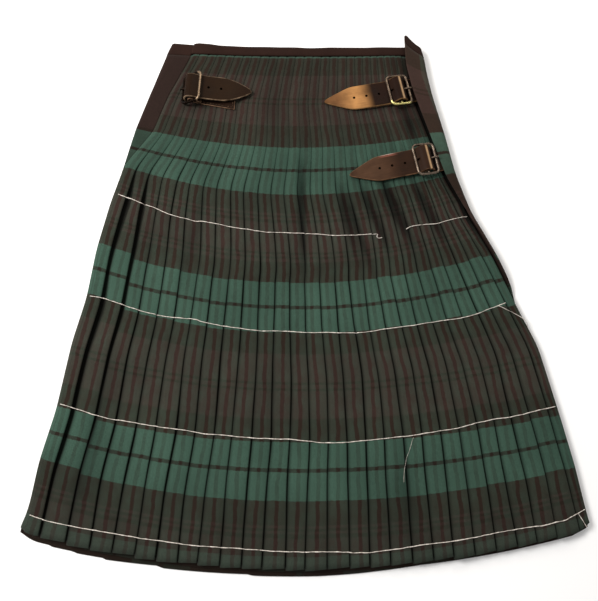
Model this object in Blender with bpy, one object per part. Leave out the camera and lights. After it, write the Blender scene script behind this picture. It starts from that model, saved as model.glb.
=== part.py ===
"""A Scottish kilt laid flat on its aprons, with its pleated back up.

Metres, +Z up. +X is the viewer's right and +Y runs from the hem to the waist. The origin is
under the middle of the kilt, on the surface it lies on.

Every cloth is a wall lofted through rows. A row is one line of the weft across the kilt, named
by its drop: its distance down the cloth from the top edge, along the middle of the back.
"""

import math
from collections import namedtuple

import bmesh
import bpy
from mathutils import Matrix, Vector

# Sizes of the garment
PLEATS = 27
BAND_DROP = 0.014
PLEAT_HEM_DROP = 0.6055
HEM_SETBACK = 0.002
MIDDLE_OF_KILT = Vector((0.0076, 0.0271, 0.0))

# Cloth and leather
WOOL = 0.0012
APRON = 0.0015
BAND = 0.0018
LEATHER = 0.0024
TAB = 0.0018
SEAM_GAP = 0.0003

# Heights of the layers' middles over the surface
OVER_APRON_Z = APRON / 2
UNDER_APRON_Z = OVER_APRON_Z + APRON + SEAM_GAP
FOLD_RADIUS = 0.0009
PLEAT_TOP_Z = 0.0102
PLEAT_LOW_Z = PLEAT_TOP_Z - 4 * FOLD_RADIUS
PLAIN_Z = PLEAT_TOP_Z - 2 * FOLD_RADIUS
FLAP_Z = 0.0132
CLOTH_TOP_Z = PLEAT_TOP_Z + WOOL / 2 + SEAM_GAP

# Share of a pleat's width that its fold goes back under it
UNDERLAP = 0.62
OPENING = 0.0005

# One row of the kilt: where the pleats start and end, where the cloth turns down at the right,
# the height of the middle and of both ends up the kilt, how far the hem's uneven pleat widths
# apply, and how far the two wide openings at the left have spread.
Row = namedtuple("Row", "drop left right turn mid rise_left rise_right uneven spread")
ROWS = [
    Row(0.0000, -0.1310, 0.1300, 0.1465, 0.3275, 0.0055, 0.0005, 0.00, 0.000),
    Row(0.0140, -0.1345, 0.1320, 0.1505, 0.3136, 0.0034, 0.0010, 0.00, 0.000),
    Row(0.0770, -0.1600, 0.1370, 0.1590, 0.2506, 0.0100, 0.0070, 0.10, 0.000),
    Row(0.1386, -0.1760, 0.1430, 0.1710, 0.1890, 0.0220, 0.0155, 0.25, 0.000),
    Row(0.1987, -0.2085, 0.1660, 0.1820, 0.1288, 0.0370, 0.0230, 0.40, 0.001),
    Row(0.2495, -0.2205, 0.1900, 0.1935, 0.0780, 0.0420, 0.0280, 0.50, 0.009),
    Row(0.3083, -0.2320, 0.2190, 0.2200, 0.0192, 0.0430, 0.0340, 0.60, 0.005),
    Row(0.3627, -0.2385, 0.2410, 0.2410, -0.0352, 0.0400, 0.0330, 0.75, 0.003),
    Row(0.4100, -0.2500, 0.2620, 0.2620, -0.0825, 0.0365, 0.0305, 0.80, 0.003),
    Row(0.4801, -0.2600, 0.2775, 0.2775, -0.1526, 0.0330, 0.0280, 0.90, 0.003),
    Row(0.5394, -0.2725, 0.2880, 0.2880, -0.2120, 0.0390, 0.0340, 1.00, 0.002),
    Row(0.6094, -0.2815, 0.2970, 0.2970, -0.2819, 0.0350, 0.0390, 1.00, 0.001),
]

# Widths of the pleats at the hem that differ from the rest, as shares of an even pleat
HEM_WIDTHS = {1: 0.80, 2: 1.26, 3: 1.08, 4: 1.10, 5: 1.02, 26: 1.10, 27: 0.62}

# The over-apron: where it turns up at the left, how far round the left side its seam with the
# pleats lies, where it turns up at the right, how far round the right side its free edge lies, how
# far back over the top that edge reaches, how much its weft climbs there, and how high it curls.
Wrap = namedtuple("Wrap", "drop left seam_angle right edge_angle free climb curl")
WRAPS = [
    Wrap(0.0000, -0.1600, 90.0, 0.1510, 90.0, 0.1350, 0.70, 0.014),
    Wrap(0.0140, -0.1665, 90.0, 0.1550, 90.0, 0.1360, 0.55, 0.010),
    Wrap(0.0770, -0.1860, 90.0, 0.1630, 90.0, 0.1385, 0.25, 0.004),
    Wrap(0.1386, -0.1965, 90.0, 0.1745, 90.0, 0.1530, 0.15, 0.000),
    Wrap(0.1987, -0.2085, 35.0, 0.1855, 90.0, 0.1690, 0.00, 0.000),
    Wrap(0.2495, -0.2205, -20.0, 0.1990, 85.0, 0.1930, 0.00, 0.000),
    Wrap(0.3083, -0.2320, -20.0, 0.2250, 60.0, 0.0000, 0.00, 0.000),
    Wrap(0.3355, -0.2350, -20.0, 0.2355, 0.0, 0.0000, 0.00, 0.000),
    Wrap(0.3627, -0.2385, -20.0, 0.2440, -70.0, 0.0000, 0.00, 0.000),
    Wrap(0.4100, -0.2500, -20.0, 0.2600, -90.0, 0.0000, 0.00, 0.000),
    Wrap(0.4801, -0.2600, -20.0, 0.2755, -90.0, 0.0000, 0.00, 0.000),
    Wrap(0.5394, -0.2725, -20.0, 0.2860, -90.0, 0.0000, 0.00, 0.000),
    Wrap(0.6094, -0.2815, -20.0, 0.2950, -90.0, 0.0000, 0.00, 0.000),
]
LEFT_TURN = 0.0040
RIGHT_TURN = 0.0040
FLAP_TURN = 0.0060
FLAT_STEP = 0.0018
SEAM_STEP = 0.0012
UNDER_INSET = 0.010
STRIP_GAP = 0.0015

# A seam or edge at more than this angle lies on top of the kilt, not on its side
ON_TOP = 80.0

# The band over the pleats: how far it runs past them at the right, and its rolled top edge
BAND_PAST = 0.006
BAND_ROLL = 0.0022
BAND_EDGE = 0.0009

# The three straps with their buckles: where the buckle's bar is, which way the strap's root lies,
# how far the frame is tipped up, how high its bar is over the cloth, how far the tail bends
# sideways, and the bend and size of the leather tab that holds the buckle.
Buckle = namedtuple("Buckle", "name x y heading tip bar bend tab_bend tab_width tab_length")
BUCKLES = [
    Buckle("right_upper", 0.1210, 0.2620, 11.0, 7.0, 0.0063, 0.0040, 0.000, 0.0290, 0.042),
    Buckle("right_lower", 0.1485, 0.1700, 10.5, 7.0, 0.0063, -0.0020, 0.000, 0.0290, 0.042),
    Buckle("left", -0.1300, 0.2640, 177.5, 30.0, 0.0082, 0.0000, 0.006, 0.0350, 0.053),
]
FRAME_WIDE = 0.0250
FRAME_TALL = 0.0380
FRAME_CORNER = 0.0050
WIRE = 0.0015
PRONG_WIRE = 0.00095
PRONG_REACH = 0.0150
STRAP_WIDTH = 0.0315
HOLE = 0.0016
PRONG_HOLE_WIDE = 0.0032
PUNCH_DEPTH = 0.020
PUNCH_HEIGHT = 0.006
STEEP = 15.0

# Where the tab starts to rise from the cloth to the bar, on the sewn side of the buckle
TAB_LEAVES = -0.0120
TAB_STITCHED = -0.0240
TAB_UNDER_BAR = -0.0050
TAB_UNDERSIDE_END = -0.0090

# The strap's middle line, from its root to its tip: distance from the bar towards the root,
# height over the cloth, and the strap's width there as a share of its full width.
Station = namedtuple("Station", "along height width")
FLAT_STRAP = [
    Station(0.0240, -0.0003, 1.00),
    Station(0.0150, -0.0003, 1.00),
    Station(0.0110, -0.0001, 1.00),
    Station(0.0088, 0.0016, 1.00),
    Station(0.0070, 0.0052, 1.00),
    Station(0.0046, 0.0094, 1.00),
    Station(0.0000, 0.0118, 1.00),
    Station(-0.0045, 0.0101, 1.00),
    Station(-0.0085, 0.0062, 1.00),
    Station(-0.0125, 0.0042, 1.00),
    Station(-0.0180, 0.0036, 1.00),
    Station(-0.0380, 0.0034, 1.00),
    Station(-0.0565, 0.0024, 1.00),
    Station(-0.0640, 0.0021, 0.86),
    Station(-0.0730, 0.0019, 0.62),
    Station(-0.0820, 0.0017, 0.38),
    Station(-0.0885, 0.0016, 0.19),
    Station(-0.0908, 0.0016, 0.07),
]
TIPPED_STRAP = [
    Station(0.0066, 0.0016, 1.00),
    Station(0.0076, 0.0060, 1.00),
    Station(0.0066, 0.0112, 1.00),
    Station(0.0040, 0.0134, 1.00),
    Station(0.0000, 0.0140, 1.00),
    Station(-0.0045, 0.0127, 1.00),
    Station(-0.0085, 0.0112, 1.00),
    Station(-0.0125, 0.0102, 1.00),
    Station(-0.0200, 0.0088, 1.00),
    Station(-0.0300, 0.0074, 1.00),
    Station(-0.0410, 0.0062, 0.99),
    Station(-0.0530, 0.0050, 0.78),
    Station(-0.0620, 0.0043, 0.52),
    Station(-0.0690, 0.0038, 0.27),
    Station(-0.0722, 0.0036, 0.10),
]
FLAT_HOLES = [-0.0085, -0.0245, -0.0400, -0.0550]
TIPPED_HOLES = [-0.0210, -0.0360]


def at_drop(table, drop):
    """The table's row at this drop, between the two rows that it lies between."""
    kind = type(table[0])
    if drop <= table[0].drop:
        return kind(*table[0])
    for above, below in zip(table, table[1:]):
        if drop <= below.drop:
            share = (drop - above.drop) / (below.drop - above.drop)
            return kind(*(a + share * (b - a) for a, b in zip(above, below)))
    return kind(*table[-1])


def up_the_kilt(row, x):
    """Where this row lies along Y at x: lowest in the middle and higher at both sides."""
    if x < 0:
        return row.mid + row.rise_left * (x / row.left) ** 2
    return row.mid + row.rise_right * (x / row.right) ** 2


def fold_places(row):
    """Where the pleats' edges lie along X on this row, with both ends."""
    shares = [1.0 + row.uneven * (HEM_WIDTHS.get(n, 1.0) - 1.0) for n in range(1, PLEATS + 1)]
    whole = sum(shares)
    places = [row.left]
    for share in shares:
        places.append(places[-1] + share * (row.right - row.left) / whole)
    return places


def turned(x, z, wide, tall, angle):
    """A point and its outward normal on a side's turn, at this angle above level."""
    a = math.radians(angle)
    return (x + wide * math.cos(a), z + tall * math.sin(a)), (math.cos(a), math.sin(a))


def pleat_section(row):
    """The pleated back's middle line across one row, as points (x, z) with their normals."""
    places = fold_places(row)
    wrap = at_drop(WRAPS, row.drop)
    r = FOLD_RADIUS
    line = []

    # The left end: flat beside the seam, or round the side where the seam has moved down it
    half_tall = (PLEAT_LOW_Z - OVER_APRON_Z) / 2
    centre = (row.left + LEFT_TURN, OVER_APRON_Z + half_tall)
    for step in range(4):
        if wrap.seam_angle > ON_TOP:
            x = row.left + SEAM_GAP / 2 + SEAM_STEP * step
            line.append(((x, PLEAT_LOW_Z), (0.0, 1.0)))
            continue
        angle = wrap.seam_angle + 4.0 + (86.0 - wrap.seam_angle) * step / 3
        (x, z), (nx, nz) = turned(*centre, -LEFT_TURN, half_tall, angle)
        line.append(((x, z), (-nx, nz)))
    valley = line[-1][0]

    for n in range(1, PLEATS):
        edge = places[n]
        opening = OPENING + (row.spread if n <= 2 else 0.0)
        slope = math.atan2(PLEAT_TOP_Z - valley[1], edge - r - valley[0])
        back = UNDERLAP * (edge - valley[0])
        face_z = PLEAT_TOP_Z - (back - r) * math.tan(slope)
        up = (-math.sin(slope), math.cos(slope))
        down = (math.sin(slope), -math.cos(slope))
        layer = 2 * r / math.cos(slope)
        line.append(((edge - r, PLEAT_TOP_Z), up))
        line.append(((edge, PLEAT_TOP_Z - r), (1.0, 0.0)))
        line.append(((edge - r, PLEAT_TOP_Z - 2 * r), down))
        line.append(((edge - back, face_z - layer), down))
        line.append(((edge - back - r, face_z - 1.5 * layer), (1.0, 0.0)))
        line.append(((edge - back, face_z - 2 * layer), up))
        valley = (edge + opening, PLEAT_LOW_Z)
        line.append((valley, (0.0, 1.0)))

    # The right end: a plain strip that turns down the side
    half_tall = (PLAIN_Z - UNDER_APRON_Z) / 2
    centre = (row.turn - RIGHT_TURN, UNDER_APRON_Z + half_tall)
    flat_end = min(row.right, centre[0] - STRIP_GAP)
    line.append(((flat_end, PLAIN_Z), (0.0, 1.0)))
    for angle in (90.0, 50.0, 10.0, -40.0):
        line.append(turned(*centre, RIGHT_TURN, half_tall, angle))
    return line


def apron_section(wrap, row, steps_flat=9):
    """The over-apron's middle line, from its free edge, under the kilt, to its left seam."""
    line = []
    tall = (FLAP_Z - OVER_APRON_Z) / 2
    centre = (wrap.right - FLAP_TURN, OVER_APRON_Z + tall)
    if wrap.edge_angle >= 90.0:
        back = centre[0] - wrap.free
        for share in (1.0, 0.66, 0.33):
            line.append(((centre[0] - back * share, FLAP_Z + wrap.curl * share**2), (0.0, 1.0)))
        for angle in (90.0, 45.0, 0.0, -45.0, -90.0):
            line.append(turned(*centre, FLAP_TURN, tall, angle))
    elif wrap.edge_angle > -90.0:
        for step in range(8):
            angle = wrap.edge_angle - (wrap.edge_angle + 90.0) * step / 7
            line.append(turned(*centre, FLAP_TURN, tall, angle))
    else:
        for step in range(8):
            line.append(((wrap.right - FLAT_STEP * step, OVER_APRON_Z), (0.0, -1.0)))
    start = line[-1][0][0]
    half_tall = (PLEAT_LOW_Z - OVER_APRON_Z) / 2
    centre = (wrap.left + LEFT_TURN, OVER_APRON_Z + half_tall)
    for step in range(1, steps_flat + 1):
        x = start + (centre[0] - start) * step / steps_flat
        line.append(((x, OVER_APRON_Z), (0.0, -1.0)))
    top = wrap.seam_angle - 4.0 if wrap.seam_angle < ON_TOP else 90.0
    for step in range(1, 5):
        angle = -90.0 + (top + 90.0) * step / 4
        (x, z), (nx, nz) = turned(*centre, -LEFT_TURN, half_tall, angle)
        line.append(((x, z), (-nx, nz)))
    if wrap.seam_angle > ON_TOP:
        line.append(((row.left - SEAM_GAP / 2, PLEAT_LOW_Z), (0.0, 1.0)))
    else:
        (x, z), (nx, nz) = turned(*centre, -LEFT_TURN, half_tall, top + 1.5)
        line.append(((x, z), (-nx, nz)))
    return line


def under_section(row, steps_flat=9):
    """The under-apron's middle line, from its seam at the right side to its left edge."""
    half_tall = (PLAIN_Z - UNDER_APRON_Z) / 2
    centre = (row.turn - RIGHT_TURN, UNDER_APRON_Z + half_tall)
    line = [turned(*centre, RIGHT_TURN, half_tall, angle) for angle in (-48.0, -68.0, -90.0)]
    left = row.left + UNDER_INSET
    for step in range(1, steps_flat + 1):
        x = centre[0] + (left - centre[0]) * step / steps_flat
        line.append(((x, UNDER_APRON_Z), (0.0, -1.0)))
    return line


def wall_mesh(name, sections, thickness):
    """A closed wall of this thickness through the sections, each a list of (point, normal)."""
    rows, across = len(sections), len(sections[0])
    points = []
    for side in (thickness / 2, -thickness / 2):
        for section in sections:
            points += [tuple(Vector(point) + side * Vector(normal)) for point, normal in section]
    layer = rows * across
    faces = []
    for i in range(rows - 1):
        for j in range(across - 1):
            a = i * across + j
            corners = (a, a + 1, a + across + 1, a + across)
            faces.append(corners)
            faces.append(tuple(layer + c for c in reversed(corners)))
    rim = list(range(across))
    rim += [i * across + across - 1 for i in range(1, rows)]
    rim += [(rows - 1) * across + j for j in range(across - 2, -1, -1)]
    rim += [i * across for i in range(rows - 2, 0, -1)]
    for a, b in zip(rim, rim[1:] + rim[:1]):
        faces.append((b, a, layer + a, layer + b))
    return faced_out(name, points, faces)


def faced_out(name, points, faces):
    """A mesh of these faces, turned to face out."""
    mesh = bpy.data.meshes.new(name)
    mesh.from_pydata(points, [], faces)
    form = bmesh.new()
    form.from_mesh(mesh)
    bmesh.ops.recalc_face_normals(form, faces=form.faces)
    if form.calc_volume(signed=True) < 0:
        bmesh.ops.reverse_faces(form, faces=form.faces)
    form.to_mesh(mesh)
    form.free()
    return mesh


def material(name, colour, roughness, metallic=0.0):
    """A Principled surface of one colour."""
    made = bpy.data.materials.new(name)
    made.use_nodes = True
    shader = made.node_tree.nodes["Principled BSDF"]
    shader.inputs["Base Color"].default_value = (*colour, 1.0)
    shader.inputs["Roughness"].default_value = roughness
    shader.inputs["Metallic"].default_value = metallic
    return made


def add(mesh, collection, finish, smooth=False):
    """An object of this mesh, moved so that the origin is under the kilt's middle."""
    mesh.transform(Matrix.Translation(-MIDDLE_OF_KILT))
    thing = bpy.data.objects.new(mesh.name, mesh)
    collection.objects.link(thing)
    mesh.materials.append(finish)
    if smooth:
        mesh.shade_smooth()
        mesh.set_sharp_from_angle(angle=math.radians(40))
    return thing


def laid(section, row):
    """A section's points, with their place up the kilt on this row."""
    return [((x, up_the_kilt(row, x), z), (nx, 0.0, nz)) for (x, z), (nx, nz) in section]


def laid_apron(wrap, row):
    """The over-apron's section, whose weft climbs towards its free edge at the right."""
    placed = []
    side = wrap.right - FLAP_TURN
    tall = (FLAP_Z - OVER_APRON_Z) / 2
    for (x, z), (nx, nz) in apron_section(wrap, row):
        y = up_the_kilt(row, x)
        if z > OVER_APRON_Z + tall and side < x + FLAP_TURN * 4 and x > 0:
            y = up_the_kilt(row, side) + wrap.climb * max(side - x, 0.0)
        placed.append(((x, y, z), (nx, 0.0, nz)))
    return placed


def pleated_back(collection, finish):
    """The back: knife pleats whose right edges lie over their right neighbours."""
    drops = [BAND_DROP + SEAM_GAP / 2]
    drops += [row.drop for row in ROWS if BAND_DROP < row.drop < PLEAT_HEM_DROP]
    drops += [PLEAT_HEM_DROP]
    rows = [at_drop(ROWS, drop) for drop in drops]
    sections = [laid(pleat_section(row), row) for row in rows]
    add(wall_mesh("pleated_back", sections, WOOL), collection, finish)


def aprons(collection, finish):
    """The over-apron, which wraps both sides, and the under-apron inside it."""
    drops = [BAND_DROP + SEAM_GAP / 2]
    drops += [wrap.drop for wrap in WRAPS if wrap.drop > BAND_DROP]
    over = [laid_apron(at_drop(WRAPS, drop), at_drop(ROWS, drop)) for drop in drops]
    add(wall_mesh("over_apron", over, APRON), collection, finish)
    under = []
    for drop in drops:
        row = at_drop(ROWS, min(drop, PLEAT_HEM_DROP - HEM_SETBACK))
        under.append(laid(under_section(row), row))
    add(wall_mesh("under_apron", under, APRON), collection, finish)


def waistbands(collection, finish):
    """The three bindings of the waist: over the pleats and along the tops of both aprons."""
    ends = (0.0, BAND_DROP / 2, BAND_DROP - SEAM_GAP / 2)
    over = [laid_apron(at_drop(WRAPS, drop), at_drop(ROWS, drop)) for drop in ends]
    add(wall_mesh("waistband_apron", over, APRON), collection, finish)
    under = [laid(under_section(at_drop(ROWS, drop)), at_drop(ROWS, drop)) for drop in ends]
    add(wall_mesh("waistband_under", under, APRON), collection, finish)

    top, foot = at_drop(ROWS, 0.0), at_drop(ROWS, BAND_DROP)
    z = PLEAT_TOP_Z + SEAM_GAP * 2 / 3
    steps = 12
    sections = []
    for step in range(steps + 1):
        x = top.left + SEAM_GAP + (top.right + BAND_PAST - top.left) * step / steps
        lean = (foot.left - top.left) * max(0.0, -x / -top.left)
        y_top, y_foot = up_the_kilt(top, x), up_the_kilt(foot, x)
        strip = [
            ((x + lean, y_foot + SEAM_GAP / 2, z), (0.0, 0.0, 1.0)),
            ((x + lean / 2, (y_top + y_foot) / 2, z + SEAM_GAP), (0.0, 0.0, 1.0)),
            ((x, y_top - BAND_ROLL, z), (0.0, 0.35, 0.94)),
            ((x, y_top - BAND_EDGE, z - BAND_EDGE * 1.8), (0.0, 0.94, 0.35)),
            ((x, y_top - BAND_EDGE, UNDER_APRON_Z + APRON / 2 + BAND), (0.0, 1.0, 0.0)),
        ]
        sections.append(strip)
    add(wall_mesh("waistband_back", sections, BAND), collection, finish)


def placed_on_cloth(buckle):
    """Where a buckle's own frame lies: X towards the strap's root, Z up from the cloth."""
    spot = Matrix.Translation((buckle.x, buckle.y, CLOTH_TOP_Z))
    return spot @ Matrix.Rotation(math.radians(buckle.heading), 4, "Z")


def leather_strip(name, line, thickness, place):
    """A strip along (along, sideways, height, half width) stations, with square edges."""
    points = []
    for n, (x, y, z, half) in enumerate(line):
        before, after = line[max(n - 1, 0)], line[min(n + 1, len(line) - 1)]
        run, climb = after[0] - before[0], after[2] - before[2]
        length = math.hypot(run, climb)
        up = Vector((-climb / length, 0.0, run / length)) * (thickness / 2)
        for side in (half, -half):
            for face in (up, -up):
                points.append(Vector((x, y + side, z)) + face)
    faces = []
    for n in range(len(line) - 1):
        a, b = 4 * n, 4 * n + 4
        for i, j in ((0, 1), (1, 3), (3, 2), (2, 0)):
            faces.append((a + i, a + j, b + j, b + i))
    last = 4 * (len(line) - 1)
    faces.append((0, 2, 3, 1))
    faces.append((last, last + 1, last + 3, last + 2))
    mesh = faced_out(name, [tuple(p) for p in points], faces)
    mesh.transform(place)
    return mesh


def round_cutter(name, place, radius, height, cutters):
    """A round punch, as deep as this height."""
    mesh = bpy.data.meshes.new(name)
    form = bmesh.new()
    bmesh.ops.create_cone(form, cap_ends=True, segments=10, radius1=radius, radius2=radius,
                          depth=height)
    form.to_mesh(mesh)
    form.free()
    mesh.transform(Matrix.Translation(-MIDDLE_OF_KILT) @ place)
    return hidden(bpy.data.objects.new(name, mesh), cutters)


def box_cutter(name, place, low, high, cutters):
    """A square punch between two corners."""
    mesh = bpy.data.meshes.new(name)
    form = bmesh.new()
    size = [h - l for l, h in zip(low, high)]
    middle = [(h + l) / 2 for l, h in zip(low, high)]
    bmesh.ops.create_cube(form, size=1.0)
    bmesh.ops.scale(form, vec=size, verts=form.verts)
    bmesh.ops.translate(form, vec=middle, verts=form.verts)
    form.to_mesh(mesh)
    form.free()
    mesh.transform(Matrix.Translation(-MIDDLE_OF_KILT) @ place)
    return hidden(bpy.data.objects.new(name, mesh), cutters)


def hidden(thing, cutters):
    """Keeps a punch out of the picture."""
    cutters.objects.link(thing)
    thing.hide_render = True
    thing.display_type = "WIRE"
    return thing


def cut(thing, cutter, operation="DIFFERENCE"):
    """Cuts one object with another, or joins them."""
    made = thing.modifiers.new(cutter.name, "BOOLEAN")
    made.operation = operation
    made.object = cutter


def wire_mesh(name, points, radius, closed, place):
    """A round wire through the points."""
    curve = bpy.data.curves.new(name, "CURVE")
    curve.dimensions = "3D"
    curve.bevel_depth = radius
    curve.bevel_resolution = 2
    curve.use_fill_caps = not closed
    spline = curve.splines.new("POLY")
    spline.points.add(len(points) - 1)
    for point, (x, y, z) in zip(spline.points, points):
        point.co = (x, y, z, 1.0)
    spline.use_cyclic_u = closed
    guide = bpy.data.objects.new(name, curve)
    bpy.context.scene.collection.objects.link(guide)
    graph = bpy.context.evaluated_depsgraph_get()
    mesh = bpy.data.meshes.new_from_object(guide.evaluated_get(graph))
    bpy.data.objects.remove(guide, do_unlink=True)
    form = bmesh.new()
    form.from_mesh(mesh)
    bmesh.ops.remove_doubles(form, verts=form.verts, dist=1e-6)
    form.to_mesh(mesh)
    form.free()
    mesh.name = name
    mesh.transform(place)
    return mesh


def strap(buckle, collection, cutters, finish):
    """The strap, over the buckle's bar and under its inner side, with its punched holes."""
    tipped = buckle.tip > STEEP
    stations = TIPPED_STRAP if tipped else FLAT_STRAP
    tail = stations[-1].along
    line = []
    for station in stations:
        sideways = buckle.bend * (min(station.along, 0.0) / tail) ** 2
        line.append((station.along, sideways, station.height, station.width * STRAP_WIDTH / 2))
    place = placed_on_cloth(buckle)
    thing = add(leather_strip(f"strap_{buckle.name}", line, LEATHER, place), collection, finish)
    for n, along in enumerate(TIPPED_HOLES if tipped else FLAT_HOLES):
        sideways = buckle.bend * (along / tail) ** 2
        spot = place @ Matrix.Translation((along, sideways, PUNCH_HEIGHT))
        cut(thing, round_cutter(f"hole_{buckle.name}_{n}", spot, HOLE, PUNCH_DEPTH, cutters))
    half = PRONG_HOLE_WIDE / 2
    low, high = ((0.0050, -half, 0.0032), (0.0100, half, 0.0078)) if tipped else (
        (0.0030, -half, 0.0044), (0.0102, half, 0.0092))
    cut(thing, box_cutter(f"prong_hole_{buckle.name}", place, low, high, cutters))


def tab(buckle, collection, cutters, finish):
    """The leather tab sewn to the pleats: it folds round the bar and has a slot for the prong."""
    loop = WIRE + SEAM_GAP + TAB / 2
    flat, bar = TAB / 2, buckle.bar
    over = flat + TAB + SEAM_GAP * 2
    end = TAB_UNDERSIDE_END - (bar - BUCKLES[0].bar) * 1.6
    line = [(-buckle.tab_length, flat), (TAB_STITCHED, flat), (TAB_LEAVES, flat)]
    line.append((TAB_UNDER_BAR, flat + (bar - loop - flat) * 0.55))
    for angle in (-90.0, -45.0, 0.0, 45.0, 90.0):
        a = math.radians(angle)
        line.append((loop * math.cos(a), bar + loop * math.sin(a)))
    line.append((0.33 * end, over + (bar + loop - over) * 0.80))
    line.append((0.72 * end, over + (bar + loop - over) * 0.30))
    line.append((end, over))
    stations = []
    for x, z in line:
        away = max(TAB_LEAVES - x, 0.0) / (buckle.tab_length + TAB_LEAVES)
        stations.append((x, away * buckle.tab_bend, z, buckle.tab_width / 2))
    place = placed_on_cloth(buckle)
    thing = add(leather_strip(f"chape_{buckle.name}", stations, TAB, place), collection, finish)
    half = PRONG_HOLE_WIDE / 2 + 0.0003
    low, high = (-0.0052, -half, bar - 0.0046), (0.0052, half, bar + 0.0046)
    cut(thing, box_cutter(f"slot_{buckle.name}", place, low, high, cutters))


def frame(buckle, collection, cutters, finish):
    """The buckle: a rounded wire frame with a bar across its middle."""
    x, y, r = FRAME_WIDE / 2, FRAME_TALL / 2, FRAME_CORNER
    points = []
    for quarter, (side, end) in enumerate(((1, 1), (-1, 1), (-1, -1), (1, -1))):
        for step in range(4):
            a = math.radians(90.0 * quarter + 30.0 * step)
            points.append((side * (x - r) + r * math.cos(a), end * (y - r) + r * math.sin(a), 0.0))
    tilt = Matrix.Rotation(math.radians(buckle.tip), 4, "Y")
    place = placed_on_cloth(buckle) @ Matrix.Translation((0.0, 0.0, buckle.bar)) @ tilt
    name = f"buckle_frame_{buckle.name}"
    thing = add(wire_mesh(name, points, WIRE, True, place), collection, finish, smooth=True)
    ends = [(0.0, -y, 0.0), (0.0, 0.0, 0.0), (0.0, y, 0.0)]
    bar = wire_mesh(f"bar_{buckle.name}", ends, WIRE * 0.9, False,
                    Matrix.Translation(-MIDDLE_OF_KILT) @ place)
    cut(thing, hidden(bpy.data.objects.new(f"bar_{buckle.name}", bar), cutters), "UNION")


def prong(buckle, collection, finish):
    """The prong: it turns round the bar, comes up through the strap and rests on the frame."""
    ring = WIRE + SEAM_GAP + PRONG_WIRE
    tip = math.radians(buckle.tip)
    last = -10.0 if buckle.tip < STEEP else -30.0
    points = []
    for angle in (-210.0, -170.0, -130.0, -90.0, -50.0, last):
        a = math.radians(angle)
        points.append((ring * math.cos(a), 0.0, buckle.bar + ring * math.sin(a)))
    side = FRAME_WIDE / 2
    rest_x = side * math.cos(tip) + ring * math.sin(tip)
    rest_z = buckle.bar - side * math.sin(tip) + ring * math.cos(tip)
    start_x, _, start_z = points[-1]
    points.append((start_x + 0.55 * (rest_x - start_x), 0.0, start_z + 0.75 * (rest_z - start_z)))
    points.append((rest_x, 0.0, rest_z))
    reach = PRONG_REACH - side
    points.append((rest_x + reach * math.cos(tip), 0.0, rest_z - reach * math.sin(tip) - SEAM_GAP))
    mesh = wire_mesh(f"prong_{buckle.name}", points, PRONG_WIRE, False, placed_on_cloth(buckle))
    add(mesh, collection, finish, smooth=True)


def clear_scene():
    """Removes what the file starts with."""
    for thing in list(bpy.data.objects):
        bpy.data.objects.remove(thing, do_unlink=True)


def main():
    """Builds the kilt's pieces."""
    clear_scene()
    kilt = bpy.data.collections.new("scottish_kilt")
    cutters = bpy.data.collections.new("cutters")
    bpy.context.scene.collection.children.link(kilt)
    bpy.context.scene.collection.children.link(cutters)
    cutters.hide_render = True
    wool = material("wool", (0.045, 0.060, 0.050), 0.9)
    binding = material("waist_binding", (0.035, 0.015, 0.012), 0.85)
    leather = material("leather", (0.080, 0.045, 0.025), 0.5)
    bronze = material("antique_bronze", (0.420, 0.290, 0.180), 0.3, metallic=1.0)
    pleated_back(kilt, wool)
    aprons(kilt, wool)
    waistbands(kilt, binding)
    for buckle in BUCKLES:
        tab(buckle, kilt, cutters, leather)
        frame(buckle, kilt, cutters, bronze)
        prong(buckle, kilt, bronze)
        strap(buckle, kilt, cutters, leather)


main()
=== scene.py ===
"""A Scottish kilt laid flat on its aprons, with its pleated back up.

Metres, +Z up, +X to the viewer's right and +Y from the hem to the waist. Each section makes one
piece of the kilt, in the order in which a kiltmaker puts them together.
"""

import math
from collections import namedtuple

import bmesh
import bpy
import numpy as np
from mathutils import Matrix, Vector, noise
from mathutils.bvhtree import BVHTree


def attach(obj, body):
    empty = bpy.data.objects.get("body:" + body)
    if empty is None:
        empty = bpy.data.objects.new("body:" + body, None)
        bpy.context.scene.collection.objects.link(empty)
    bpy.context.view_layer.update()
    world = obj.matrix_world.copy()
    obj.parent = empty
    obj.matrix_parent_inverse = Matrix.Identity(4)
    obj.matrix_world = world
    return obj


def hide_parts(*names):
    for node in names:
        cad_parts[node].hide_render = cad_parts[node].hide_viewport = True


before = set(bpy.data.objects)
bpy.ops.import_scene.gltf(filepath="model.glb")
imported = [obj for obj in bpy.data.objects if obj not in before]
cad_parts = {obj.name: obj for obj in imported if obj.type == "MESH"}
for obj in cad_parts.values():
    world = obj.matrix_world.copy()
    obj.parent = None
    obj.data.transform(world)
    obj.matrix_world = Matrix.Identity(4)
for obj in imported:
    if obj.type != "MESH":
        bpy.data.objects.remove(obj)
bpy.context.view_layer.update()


# The pleated back. Twenty-seven knife pleats of worsted tartan, each folded on the stripe and
# pressed. They are stitched down at the top and open below. A row is one line of the weft, named
# by its drop: its distance down the cloth from the top edge, along the middle of the back.
MIDDLE_OF_KILT = Vector((0.0076, 0.0271, 0.0))
PLEATS = 27

# How many points one row has before the first pleat, and in each pleat
SIDE_POINTS = 4
POINTS_A_PLEAT = 17

# The foot of the waistband, the gap between it and the cloth below it, and the pleats' hem
BAND_DROP = 0.014
UNDER_BAND = 0.00015
PLEAT_HEM_DROP = 0.6055
CLOTH_THICK = 0.0009
FOLD_RADIUS = 0.0009
FOLD_ANGLES = (90.0, 40.0, 0.0, -40.0, -90.0)

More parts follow.
